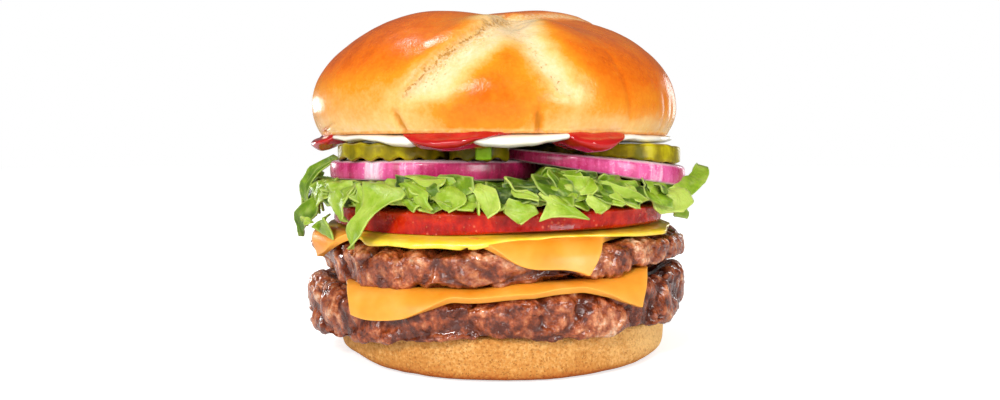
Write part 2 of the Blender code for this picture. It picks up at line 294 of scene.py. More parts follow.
class Skin:
    """A mesh whose points are moved as one array."""

    def __init__(self, name: str, shape: bmesh.types.BMesh) -> None:
        """Takes over and frees the shape.

        Args:
            name: Name of the mesh.
            shape: The mesh to take over.
        """
        self.name = name
        self.mesh = bpy.data.meshes.new(name)
        shape.to_mesh(self.mesh)
        shape.free()
        self.refresh()

    @classmethod
    def ball(cls, name: str, segments: int, rings: int) -> "Skin":
        """A closed unit sphere with its poles at the top and the bottom.

        Args:
            name: Name of the mesh.
            segments: Points round it.
            rings: Rows from its bottom to its top.

        Returns:
            The ball.
        """
        shape = bmesh.new()
        bmesh.ops.create_uvsphere(shape, u_segments=segments, v_segments=rings, radius=1.0)
        return cls(name, shape)

    @classmethod
    def sheet(cls, name: str, across: int, along: int) -> "Skin":
        """A flat open grid from -1 to 1.

        Args:
            name: Name of the mesh.
            across: Points across it.
            along: Points along it.

        Returns:
            The grid.
        """
        shape = bmesh.new()
        bmesh.ops.create_grid(shape, x_segments=across, y_segments=along, size=1.0)
        return cls(name, shape)

    @classmethod
    def disc(cls, name: str, segments: int, rings: int,
             squareness: float) -> tuple["Skin", Array, Array, Array]:
        """A fresh ball that is going to be pressed to a slice.

        Args:
            name: Name of the piece.
            segments: Points round it.
            rings: Rows from its bottom to its top.
            squareness: Of its rim: 1 is round, 0 is square.

        Returns:
            The ball, and for each point its direction, its share of the radius and its share of
            the half height.
        """
        skin = cls.ball(name, segments, rings)
        return skin, skin.angle(), *rim_profile(skin.turn(), squareness)

    def _vectors(self, layer: bpy.types.bpy_prop_collection) -> Array:
        """Reads one vector for each point.

        Args:
            layer: Where the mesh keeps them.

        Returns:
            One row for each point.
        """
        values = np.empty(3 * len(self.mesh.vertices), dtype=np.float32)
        layer.foreach_get("vector", values)
        return values.reshape(-1, 3).astype(float)

    def angle(self) -> Array:
        """Direction of each point of a fresh ball, from the front."""
        return np.arctan2(self.points[:, 0], -self.points[:, 1])

    def turn(self) -> Array:
        """Climb of each point of a fresh ball: 0 at the bottom pole, 1 at the top pole."""
        return 0.5 + np.arcsin(np.clip(self.points[:, 2], -1.0, 1.0)) / pi

    def refresh(self) -> None:
        """Reads the points as the mesh has them now."""
        self.points = self._vectors(self.mesh.attributes["position"].data)

    def place(self, points: Array) -> None:
        """Moves every point.

        Args:
            points: Places, one row each.
        """
        self.points = points
        self.mesh.vertices.foreach_set("co", points.astype(np.float32).ravel())
        self.mesh.update()

    def place_clear(self, points: Array, loose: Array, others: Sequence["Skin"],
                    gap: float, reach: float) -> None:
        """Moves every point, the loose ones out of the way of other pieces.

        Args:
            points: Places, one row each.
            loose: Which of them may give way.
            others: Pieces to keep clear of.
            gap: Least distance to them.
            reach: How far to look.
        """
        points[loose] = keep_clear(points[loose], [other.tree() for other in others], gap, reach)
        self.place(points)

    def swell(self, height: Array) -> None:
        """Moves every point along its own outward direction."""
        self.place(self.points + self._vectors(self.mesh.vertex_normals) * height[:, None])

    def mark(self, name: str, values: Array) -> None:
        """Keeps a number for each point, which the finish reads."""
        layer = self.mesh.attributes.new(name, "FLOAT", "POINT")
        layer.data.foreach_set("value", np.clip(values, 0.0, 1.0).astype(np.float32))

    def tree(self) -> BVHTree:
        """Search tree of the surface as it is now.

        Returns:
            The tree.
        """
        self.mesh.calc_loop_triangles()
        triangles = [tuple(part.vertices) for part in self.mesh.loop_triangles]
        return BVHTree.FromPolygons([Vector(point) for point in self.points], triangles)

    def finish(self, material: Material, slot: Slot, *nodes: str) -> bpy.types.Object:
        """Turns the mesh into a finished piece.

        Args:
            material: Its finish.
            slot: The record's material slot; not used.
            nodes: Frame nodes that the piece stands for.

        Returns:
            The piece, riding on the burger's body.
        """
        self.mesh.shade_smooth()
        self.mesh.materials.append(material)
        piece = bpy.data.objects.new(self.name, self.mesh)
        bpy.context.scene.collection.objects.link(piece)
        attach(piece, BODY)
        if nodes:
            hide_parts(*nodes)
        log.info("%s: %d points", self.name, len(self.mesh.vertices))
        return piece


def keep_clear(points: Array, trees: Sequence[BVHTree], gap: float, reach: float) -> Array:
    """Moves points that lie in or too near other surfaces out to the given gap.

    Args:
        points: Places, one row each.
        trees: Surfaces to keep clear of.
        gap: Least distance to them.
        reach: How far to look.

    Returns:
        The corrected places.
    """
    clear = points.copy()
    for tree in trees:
        for index, point in enumerate(clear):
            spot, normal, _, away = tree.find_nearest(Vector(point), reach)
            if spot is None:
                continue
            side = (Vector(point) - spot).dot(normal)
            if side < 0.0 or away < gap:
                clear[index] = spot + normal * gap
    return clear


def rim_profile(turn: Array, squareness: float | Array) -> tuple[Array, Array]:
    """Superellipse of a slice.

    Args:
        turn: 0 in the middle of the underside, 0.5 at the widest line, 1 in the middle of the top.
        squareness: 1 is round, 0 is square.

    Returns:
        Share of the radius, and share of the half height from -1 to 1.
    """
    latitude = (turn - 0.5) * pi
    reach = np.maximum(np.cos(latitude), 0.0) ** squareness
    height = np.sign(latitude) * np.minimum(1.04 * np.abs(np.sin(latitude)) ** squareness, 1.0)
    return reach, height


@dataclass(frozen=True)
class Block:
    """Place and size of a frame node."""

    x: float
    y: float
    low: float
    high: float
    half_x: float
    half_y: float

    @classmethod
    def of(cls, node: str) -> "Block":
        """Reads the node's box from the frame."""
        (x0, y0, z0), (x1, y1, z1) = (tuple(corner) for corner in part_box(node))
        return cls(0.5 * (x0 + x1), 0.5 * (y0 + y1), z0, z1, 0.5 * (x1 - x0), 0.5 * (y1 - y0))


# ---------------------------------------------------------------------------------------------
# finishes
# ---------------------------------------------------------------------------------------------

class Shade:
    """Builds one node material step by step."""

    def __init__(self, name: str) -> None:
        """Starts with a bare surface shader.

        Args:
            name: Name of the material.
        """
        self.material = bpy.data.materials.new(name)
        self.material.use_nodes = True
        self.tree = self.material.node_tree
        self.shader = self.tree.nodes["Principled BSDF"]
        self._coordinates = self.tree.nodes.new("ShaderNodeTexCoord")

    def wire(self, source: Socket, target: Socket) -> None:
        """Joins two sockets."""
        self.tree.links.new(source, target)

    def set(self, **values: float | Colour) -> None:
        """Sets the shader's own sockets; underscores stand for spaces."""
        for name, value in values.items():
            socket = self.shader.inputs[name.replace("_", " ")]
            socket.default_value = (*value, 1.0) if socket.type == "RGBA" else value

    def mark(self, name: str) -> Socket:
        """A number kept on the mesh.

        Args:
            name: Name of the mark.

        Returns:
            The socket that gives it.
        """
        node = self.tree.nodes.new("ShaderNodeAttribute")
        node.attribute_name = name
        return node.outputs["Fac"]

    def place(self, stretch: Triple = (1.0, 1.0, 1.0)) -> Socket:
        """Place on the object, stretched along its axes.

        Args:
            stretch: Scale of the pattern along each axis.

        Returns:
            The socket that gives it.
        """
        node = self.tree.nodes.new("ShaderNodeMapping")
        node.inputs["Scale"].default_value = stretch
        self.wire(self._coordinates.outputs["Object"], node.inputs["Vector"])
        return node.outputs["Vector"]

    def noise(self, size: float, detail: float = 2.0, roughness: float = 0.5,
              stretch: Triple = (1.0, 1.0, 1.0)) -> Socket:
        """Cloudy noise of 0 to 1 with hills of the given size.

        Args:
            size: Distance between hills.
            detail: Steps of finer noise.
            roughness: Weight of the finer steps.
            stretch: Scale of the pattern along each axis.

        Returns:
            The socket that gives it.
        """
        node = self.tree.nodes.new("ShaderNodeTexNoise")
        node.inputs["Scale"].default_value = 1.0 / size
        node.inputs["Detail"].default_value = detail
        node.inputs["Roughness"].default_value = roughness
        self.wire(self.place(stretch), node.inputs["Vector"])
        return node.outputs["Fac"]

    def cloud(self, low: float, high: float, size: float, detail: float = 2.0,
              roughness: float = 0.5, stretch: Triple = (1.0, 1.0, 1.0)) -> Socket:
        """Cloudy noise that swings between two values."""
        return self.span(self.noise(size, detail, roughness, stretch), 0.3, 0.7, low, high)

    def pebbles(self, size: float) -> Socket:
        """Distance pattern of scattered spots.

        Args:
            size: Distance between spots.

        Returns:
            The socket that gives it.
        """
        node = self.tree.nodes.new("ShaderNodeTexVoronoi")
        node.inputs["Scale"].default_value = 1.0 / size
        self.wire(self.place(), node.inputs["Vector"])
        return node.outputs["Distance"]

    def span(self, source: Socket, low: float, high: float,
             to_low: float = 0.0, to_high: float = 1.0) -> Socket:
        """Stretches a range of a number to another range.

        Args:
            source: The number.
            low: Start of its range.
            high: End of its range.
            to_low: What the start becomes.
            to_high: What the end becomes.

        Returns:
            The socket that gives it.
        """
        node = self.tree.nodes.new("ShaderNodeMapRange")
        self.wire(source, node.inputs["Value"])
        for name, value in (("From Min", low), ("From Max", high),
                            ("To Min", to_low), ("To Max", to_high)):
            node.inputs[name].default_value = value
        return node.outputs["Result"]

    def sum(self, kind: str, first: Socket, second: Socket | float) -> Socket:
        """Arithmetic on two numbers; kind is the Math node's operation.

        Args:
            kind: Operation of the Math node.
            first: First value.
            second: Second value.

        Returns:
            The socket that gives it.
        """
        node = self.tree.nodes.new("ShaderNodeMath")
        node.operation = kind
        self.wire(first, node.inputs[0])
        if isinstance(second, (int, float)):
            node.inputs[1].default_value = second
        else:
            self.wire(second, node.inputs[1])
        return node.outputs[0]

    def ramp(self, source: Socket, stops: Sequence[tuple[float, Colour]]) -> Socket:
        """Colours along a number.

        Args:
            source: The number.
            stops: Pairs of a value of the number and a colour.

        Returns:
            The socket that gives it.
        """
        node = self.tree.nodes.new("ShaderNodeValToRGB")
        band = node.color_ramp
        while len(band.elements) < len(stops):
            band.elements.new(0.5)
        for element, (at, colour) in zip(band.elements, stops):
            element.position = at
            element.color = (*colour, 1.0)
        self.wire(source, node.inputs["Fac"])
        return node.outputs["Color"]

    def blend(self, share: Socket, first: Socket | Colour, second: Socket | Colour) -> Socket:
        """Mixes two colours.

        Args:
            share: How much of the second colour.
            first: First value.
            second: Second value.

        Returns:
            The socket that gives it.
        """
        node = self.tree.nodes.new("ShaderNodeMix")
        node.data_type = "RGBA"
        self.wire(share, node.inputs["Factor"])
        for value, socket in ((first, node.inputs[6]), (second, node.inputs[7])):
            if isinstance(value, tuple):
                socket.default_value = (*value, 1.0)
            else:
                self.wire(value, socket)
        return node.outputs[2]

    def colour(self, source: Socket) -> None:
        """Sets the surface colour."""
        self.wire(source, self.shader.inputs["Base Color"])

    def roughness(self, source: Socket) -> None:
        """Sets the roughness from a pattern."""
        self.wire(source, self.shader.inputs["Roughness"])

    def bump(self, height: Socket, depth: float) -> None:
        """Adds fine relief; further calls are laid over it.

        Args:
            height: Pattern of the relief.
            depth: Full height of the relief.
        """
        node = self.tree.nodes.new("ShaderNodeBump")
        node.inputs["Distance"].default_value = depth
        node.inputs["Strength"].default_value = 1.0
        self.wire(height, node.inputs["Height"])
        normal = self.shader.inputs["Normal"]
        if normal.is_linked:
            self.wire(normal.links[0].from_socket, node.inputs["Normal"])
        self.wire(node.outputs["Normal"], normal)


@dataclass(frozen=True)
class Flesh:
    """Light that travels in under a surface."""

    weight: float
    radius: Colour
    scale: float

    def soak(self, shade: Shade) -> Material:
        """Sets the shader's sockets and hands over the finished material.

        Args:
            shade: The material being built.

        Returns:
            The material.
        """
        shade.shader.inputs["Subsurface Weight"].default_value = self.weight
        shade.shader.inputs["Subsurface Radius"].default_value = self.radius
        shade.shader.inputs["Subsurface Scale"].default_value = self.scale
        return shade.material


@dataclass(frozen=True)
class GlazedCrust:
    """Egg-washed crust: pale where the dough tore open, golden to brown where it baked."""

    torn: Colour = paint(240, 211, 164)
    pale: Colour = paint(238, 188, 110)
    golden: Colour = paint(232, 142, 28)
    brown: Colour = paint(222, 104, 2)
    dark: Colour = paint(176, 66, 0)
    # crumb colour of the seams, also blended into the wrinkles as painted shade
    crack: Colour = paint(176, 114, 4)
    flesh: Flesh = Flesh(0.06, (1.0, 0.5, 0.15), 0.0012)

    def make(self) -> Material:
        """Builds the material; it reads the marks bake, torn, fold (painted crease shade), seam_0 to 3 and
        near_0 to 3.

        Returns:
            The material.
        """
        shade = Shade("glazed_crust")
        mottle = shade.cloud(-0.07, 0.07, 5 * MM, 4.0, 0.6)
        speck = shade.span(shade.noise(0.9 * MM, 3.0, 0.6), 0.35, 0.65, -0.04, 0.04)
        bake = shade.sum("ADD", shade.sum("ADD", shade.mark("bake"), mottle), speck)
        crust = shade.ramp(bake, ((0.0, self.torn), (0.22, self.pale), (0.50, self.golden),
                                  (0.78, self.brown), (1.0, self.dark)))
        crumb = shade.ramp(shade.noise(0.8 * MM, 3.0, 0.7),
                           ((0.35, paint(222, 164, 72)), (0.6, self.torn)))
        crust = shade.blend(shade.mark("torn"), crust, crumb)
        crack = self._cracks(shade)
        # the fold mark darkens the wrinkles towards the crack colour: painted shade in the creases
        line = shade.sum("MAXIMUM", shade.sum("MULTIPLY", crack, 0.82), shade.mark("fold"))
        shade.colour(shade.blend(line, crust, self.crack))
        shade.roughness(shade.sum("ADD", shade.span(shade.mark("torn"), 0.0, 1.0, 0.25, 0.70),
                                  shade.cloud(-0.04, 0.04, 3 * MM, 3.0)))
        shade.bump(shade.noise(2.2 * MM, 4.0, 0.55), 0.12 * MM)
        shade.bump(shade.noise(0.5 * MM, 2.0, 0.5), 0.035 * MM)
        shade.bump(shade.sum("MULTIPLY", shade.noise(0.9 * MM, 3.0, 0.65), shade.mark("torn")), 0.5 * MM)
        shade.bump(shade.span(crack, 0.0, 1.0, 1.0, 0.0), 0.12 * MM)
        shade.set(IOR=1.34)
        return self.flesh.soak(shade)

    @staticmethod
    def _cracks(shade: Shade) -> Socket:
        """Ragged, broken lines of dark crumb along the seams.

        Args:
            shade: The material being built.

        Returns:
            Their strength, 0 to 1.
        """
        ragged = shade.cloud(-0.9, 0.9, 2.4 * MM, 4.0, 0.65)
        bits = shade.noise(0.85 * MM, 3.0, 0.6)
        total: Socket | None = None
        for seam in Seam:
            valley = seam is Seam.FRONT_RIGHT
            middle, width, gap = (-1.6, 1.1, 0.60) if valley else (0.4, 0.62, 0.45)
            off = shade.span(shade.mark(f"seam_{seam.value}"), 0.0, 1.0,
                             -0.5 * SEAM_SPAN - middle, 0.5 * SEAM_SPAN - middle)
            away = shade.sum("ABSOLUTE", shade.sum("ADD", off, ragged), 0.0)
            line = shade.sum("MULTIPLY", shade.span(away, 0.35 * width, width, 1.0, 0.0),
                             shade.span(bits, gap, gap + 0.10))
            side = shade.sum("ABSOLUTE", shade.sum("ADD", off, -2.0), 0.0)
            stray = shade.sum("MULTIPLY", shade.span(side, 0.8, 2.6, 1.0, 0.0),
                              shade.span(bits, 0.62, 0.68))
            if not valley:
                line = shade.sum("MAXIMUM", line, shade.span(away, 0.3, 1.7, 0.42, 0.0))
            line = shade.sum("MULTIPLY", shade.sum("MAXIMUM", line, stray),
                             shade.mark(f"near_{seam.value}"))
            total = line if total is None else shade.sum("MAXIMUM", total, line)
        return total


@dataclass(frozen=True)
class PorousCrust:
    """Matte crust of the heel, full of fine pores."""

    face: Colour = paint(252, 200, 124)
    warm: Colour = paint(204, 138, 62)
    edge: Colour = paint(172, 88, 22)
    # dark colour painted into the pores as shade in the pits
    pore: Colour = paint(170, 96, 30)
    flesh: Flesh = Flesh(0.10, (1.0, 0.55, 0.25), 0.0015)

    def make(self) -> Material:
        """Builds the material; it reads the mark bake.

        Returns:
            The material.
        """
        shade = Shade("porous_crust")
        cloud = shade.cloud(-0.12, 0.12, 7 * MM, 4.0, 0.6)
        grit = shade.cloud(-0.20, 0.20, 0.75 * MM, 3.0, 0.65)
        crust = shade.ramp(shade.sum("ADD", shade.sum("ADD", shade.mark("bake"), cloud), grit),
                           ((0.0, self.face), (0.5, self.warm), (1.0, self.edge)))
        size = shade.cloud(0.20, 0.50, 1.6 * MM, 3.0)
        pores = shade.span(shade.sum("SUBTRACT", size, shade.pebbles(0.62 * MM)), 0.0, 0.22)
        # the pores are darkened in colour: painted shade in the pits; the bump below gives their real relief
        shade.colour(shade.blend(shade.sum("MULTIPLY", pores, 0.30), crust, self.pore))
        shade.set(Roughness=0.8, IOR=1.4)
        shade.bump(shade.span(pores, 0.0, 1.0, 1.0, 0.0), 0.16 * MM)
        shade.bump(shade.noise(0.7 * MM, 3.0, 0.6), 0.10 * MM)
        return self.flesh.soak(shade)


@dataclass(frozen=True)
class SearedBeef:
    """Seared mince: dark with painted shade in the cracks, brown on the grains, wet with fat; the raised
    lumps go pale with painted highlight.
    """

    # colour of the painted shade in the cracks and pits
    crack: Colour = paint(70, 22, 6)
    char: Colour = paint(90, 33, 12)
    brown: Colour = paint(168, 80, 40)
    # the lightest colours, reached on the raised lumps, are pale fat and partly painted highlight
    light: Colour = paint(222, 142, 94)
    fat: Colour = paint(250, 208, 172)
    flesh: Flesh = Flesh(0.05, (1.0, 0.35, 0.2), 0.001)

    def make(self) -> Material:
        """Builds the material; it reads the marks depth (painted shade in the cracks), tone (partly painted
        light on the lumps) and char.

        Returns:
            The material.
        """
        shade = Shade("seared_beef")
        grain = shade.span(shade.noise(2.4 * MM, 6.0, 0.66), 0.32, 0.68, -0.42, 0.42)
        tone = shade.sum("ADD", shade.mark("tone"), grain)
        flesh = shade.ramp(tone, ((0.0, self.char), (0.40, self.brown), (0.74, self.light),
                                  (1.0, self.fat)))
        seared = shade.blend(shade.sum("MULTIPLY", shade.mark("char"), 0.8), flesh, self.char)
        # the depth mark blends in painted shade in the cracks and pits
        shade.colour(shade.blend(shade.mark("depth"), seared, self.crack))
        wet = shade.noise(2.8 * MM, 4.0, 0.65)
        shade.roughness(shade.span(wet, 0.42, 0.56, 0.55, 0.12))
        shade.bump(shade.noise(1.8 * MM, 5.0, 0.6), 0.30 * MM)
        shade.bump(shade.span(shade.pebbles(1.7 * MM), 0.1, 0.7, 1.0, 0.0), 0.20 * MM)
        shade.bump(shade.span(shade.pebbles(0.8 * MM), 0.1, 0.6, 1.0, 0.0), 0.10 * MM)
        shade.bump(shade.noise(0.4 * MM, 3.0, 0.6), 0.03 * MM)
        shade.set(IOR=1.42, Coat_Weight=0.6, Coat_Roughness=0.06)
        return self.flesh.soak(shade)


@dataclass(frozen=True)
class SoftCheese:
    """Processed cheese, warm and satin."""

    face: Colour = paint(247, 159, 46)
    pale: Colour = paint(250, 176, 76)
    deep: Colour = paint(240, 143, 28)
    flesh: Flesh = Flesh(0.25, (1.0, 0.6, 0.15), 0.0025)

    def make(self) -> Material:
        """Builds the material; it reads the mark edge.

        Returns:
            The material.
        """
        shade = Shade("soft_cheese")
        cloud = shade.noise(9 * MM, 3.0, 0.5)
        base = shade.ramp(cloud, ((0.3, self.deep), (0.5, self.face), (0.75, self.pale)))
        shade.colour(shade.blend(shade.sum("MULTIPLY", shade.mark("edge"), 0.5), base, self.pale))
        shade.roughness(shade.cloud(0.33, 0.46, 4 * MM, 3.0))
        shade.bump(shade.noise(6 * MM, 3.0, 0.5), 0.15 * MM)
        shade.bump(shade.noise(0.6 * MM, 2.0, 0.5), 0.012 * MM)
        shade.set(IOR=1.45)
        return self.flesh.soak(shade)


@dataclass(frozen=True)
class YellowMustard:
    """Smooth mustard with a wet shine."""

    face: Colour = paint(254, 212, 44)
    light: Colour = paint(255, 220, 80)
    flesh: Flesh = Flesh(0.15, (1.0, 0.7, 0.1), 0.0015)

    def make(self) -> Material:
        """Builds the material.

        Returns:
            The material.
        """
        shade = Shade("yellow_mustard")
        shade.colour(shade.ramp(shade.noise(3 * MM, 3.0), ((0.35, self.face), (0.7, self.light))))
        shade.bump(shade.noise(1.4 * MM, 3.0), 0.10 * MM)
        shade.set(Roughness=0.28, Coat_Weight=0.4, Coat_Roughness=0.12)
        return self.flesh.soak(shade)


@dataclass(frozen=True)
class RipeTomato:
    """Tight skin at the side, wet flesh with seed pockets on the cut faces."""

    skin: Colour = paint(188, 24, 3)
    deep: Colour = paint(152, 10, 2)
    bright: Colour = paint(218, 62, 20)
    flesh_red: Colour = paint(196, 54, 30)
    pocket: Colour = paint(206, 100, 36)
    # pale colour of the painted glints on the wet beads
    bead: Colour = paint(240, 128, 92)
    flesh: Flesh = Flesh(0.15, (1.0, 0.2, 0.08), 0.002)

    def make(self) -> Material:
        """Builds the material; it reads the marks face, pocket and the painted light mark that brightens the
        side towards the top.

        Returns:
            The material.
        """
        shade = Shade("ripe_tomato")
        cloud = shade.sum("ADD", shade.noise(6 * MM, 4.0, 0.65),
                          shade.cloud(-0.12, 0.12, 1.6 * MM, 3.0, 0.6, (1.0, 1.0, 0.4)))
        # painted light: the side brightens towards the top
        side = shade.ramp(shade.sum("ADD", cloud, shade.span(shade.mark("glow"), 0.0, 1.0, -0.15, 0.2)),
                          ((0.3, self.deep), (0.52, self.skin), (0.8, self.bright)))
        cut = shade.blend(shade.mark("pocket"), self.flesh_red, self.pocket)
        spread = shade.span(shade.noise(5 * MM, 2.0), 0.42, 0.62, 0.05, 0.34)
        # pale dots at the beads are painted glints; the bump below gives the beads real relief
        beads = shade.span(shade.sum("SUBTRACT", spread, shade.pebbles(1.3 * MM)), 0.0, 0.10)
        side = shade.blend(shade.sum("MULTIPLY", beads, 0.45), side, self.bead)
        shade.colour(shade.blend(shade.mark("face"), side, cut))
        shade.bump(beads, 0.10 * MM)
        shade.roughness(shade.span(shade.noise(2.0 * MM, 4.0), 0.36, 0.64, 0.14, 0.48))
        shade.bump(shade.noise(2.6 * MM, 4.0), 0.22 * MM)
        shade.bump(shade.noise(0.7 * MM, 3.0), 0.03 * MM)
        shade.set(IOR=1.36, Coat_Weight=0.12, Coat_Roughness=0.1)
        return self.flesh.soak(shade)


@dataclass(frozen=True)
class CrispLeaf:
    """Chopped lettuce: fresh light green, paler along veins and cut edges."""

    deep: Colour = paint(48, 74, 4)
    dark: Colour = paint(90, 124, 8)
    green: Colour = paint(138, 170, 30)
    light: Colour = paint(180, 200, 84)
    pale: Colour = paint(206, 220, 124)
    flesh: Flesh = Flesh(0.30, (0.6, 1.0, 0.15), 0.0012)

    def make(self) -> Material:
        """Builds the material; it reads the marks tone, partly painted shade, and vein.

        Returns:
            The material.
        """
        shade = Shade("crisp_leaf")
        mottle = shade.cloud(-0.09, 0.09, 2.2 * MM, 4.0, 0.6)
        # the dark end of the tone carries the painted shade of the bed and the inner leaves
        leaf = shade.ramp(shade.sum("ADD", shade.mark("tone"), mottle),
                          ((0.0, self.deep), (0.25, self.dark), (0.55, self.green),
                           (0.9, self.light)))
        shade.colour(shade.blend(shade.sum("MULTIPLY", shade.mark("vein"), 0.75), leaf, self.pale))
        shade.roughness(shade.cloud(0.28, 0.46, 3 * MM, 3.0))
        shade.bump(shade.noise(2.0 * MM, 4.0, 0.65), 0.34 * MM)
        shade.bump(shade.mark("vein"), 0.16 * MM)
        shade.set(IOR=1.42)
        return self.flesh.soak(shade)


@dataclass(frozen=True)
class RedOnion:
    """Purple skin round pale rings."""

    dark: Colour = paint(116, 12, 48)
    purple: Colour = paint(184, 38, 94)
    pink: Colour = paint(226, 96, 158)
    pale: Colour = paint(246, 222, 234)
    ring: Colour = paint(206, 120, 172)
    flesh: Flesh = Flesh(0.22, (1.0, 0.45, 0.6), 0.0015)

    def make(self) -> Material:
        """Builds the material; it reads the marks wall, tone, line and ring.

        Returns:
            The material.
        """
        shade = Shade("red_onion")
        streak = shade.noise(1.5 * MM, 3.0, 0.6, (1.0, 1.0, 0.12))
        fleck = shade.span(shade.noise(0.5 * MM, 2.0), 0.56, 0.72, 0.0, 0.16)
        tone = shade.sum("ADD", shade.mark("tone"), shade.span(streak, 0.3, 0.7, -0.16, 0.16))
        wall = shade.ramp(shade.sum("ADD", tone, fleck),
                          ((0.0, self.dark), (0.35, self.purple), (0.7, self.pink),
                           (1.0, self.pale)))
        wall = shade.blend(shade.mark("line"), wall, self.pale)
        face = shade.blend(shade.mark("ring"), self.pale, self.ring)
        shade.colour(shade.blend(shade.mark("wall"), face, wall))
        shade.roughness(shade.cloud(0.22, 0.36, 2 * MM, 2.0))
        shade.bump(shade.noise(1.1 * MM, 3.0, 0.6, (1.0, 1.0, 0.25)), 0.07 * MM)
        shade.set(IOR=1.4, Coat_Weight=0.2, Coat_Roughness=0.12)
        return self.flesh.soak(shade)


@dataclass(frozen=True)
class BrinedPickle:
    """Olive skin over translucent flesh."""

    name: str = "brined_pickle"
    skin: Colour = paint(98, 92, 0)
    olive: Colour = paint(152, 132, 0)
    bright: Colour = paint(214, 198, 12)
    seed: Colour = paint(226, 208, 90)
    flesh: Flesh = Flesh(0.12, (0.9, 0.8, 0.1), 0.0015)

    def make(self) -> Material:
        """Builds the material; it reads the marks wall, tone (partly painted light and shade) and seed.

        Returns:
            The material.
        """
        shade = Shade(self.name)
        cloud = shade.cloud(-0.36, 0.36, 3.5 * MM, 4.0, 0.6)
        tone = shade.sum("ADD", shade.mark("tone"), cloud)
        body = shade.ramp(tone, ((0.0, self.skin), (0.45, self.olive), (1.0, self.bright)))
        body = shade.blend(shade.sum("MULTIPLY", shade.mark("wall"), 0.7), body, self.skin)
        shade.colour(shade.blend(shade.mark("seed"), body, self.seed))
        shade.bump(shade.noise(1.5 * MM, 3.0), 0.10 * MM)
        shade.set(IOR=1.29, Roughness=0.32)
        return self.flesh.soak(shade)


@dataclass(frozen=True)
class Sauce:
    """Thick sauce with a wet, smooth surface."""

    name: str
    face: Colour
    light: Colour
    flesh: Flesh
    rough: float

    def make(self) -> Material:
        """Builds the material.

        Returns:
            The material.
        """
        shade = Shade(self.name)
        shade.colour(shade.ramp(shade.noise(4 * MM, 3.0), ((0.35, self.face), (0.75, self.light))))
        shade.bump(shade.noise(3 * MM, 2.0), 0.10 * MM)
        shade.set(IOR=1.42, Roughness=self.rough, Coat_Weight=0.4, Coat_Roughness=0.08)
        return self.flesh.soak(shade)


MAYONNAISE = Sauce("mayonnaise", paint(246, 238, 220), paint(254, 250, 240),
                   Flesh(0.3, (1.0, 0.9, 0.7), 0.002), 0.3)
KETCHUP = Sauce("ketchup", paint(168, 16, 18), paint(200, 28, 26),
                Flesh(0.12, (1.0, 0.15, 0.1), 0.0015), 0.14)


# ---------------------------------------------------------------------------------------------
# bun
# ---------------------------------------------------------------------------------------------

@dataclass
class Crease:
    """A shallow wrinkle that runs up the crust."""

    low_angle: float
    high_angle: float
    low: float
    high: float
    depth: float
    width: float

    def press(self, angle: Array, height: Array, radius: float) -> Array:
        """Depth of the wrinkle at each place; heights count from the crown's base.

        Args:
            angle: Directions in radians.
            height: Heights above the crown's base.
            radius: Radius of the crust.

        Returns:
            The depth at each place.
        """
        share = np.clip((height - self.low) / (self.high - self.low), 0.0, 1.0)
        middle = np.radians(self.low_angle + share * (self.high_angle - self.low_angle))
        off = radius * np.abs(wrapped(angle - middle))
        ends = ease(self.low - 1.5 * MM, self.low, height) * ease(self.high, self.high - 4 * MM, height)
        return self.depth * ends * bell(off, 0.0, self.width)


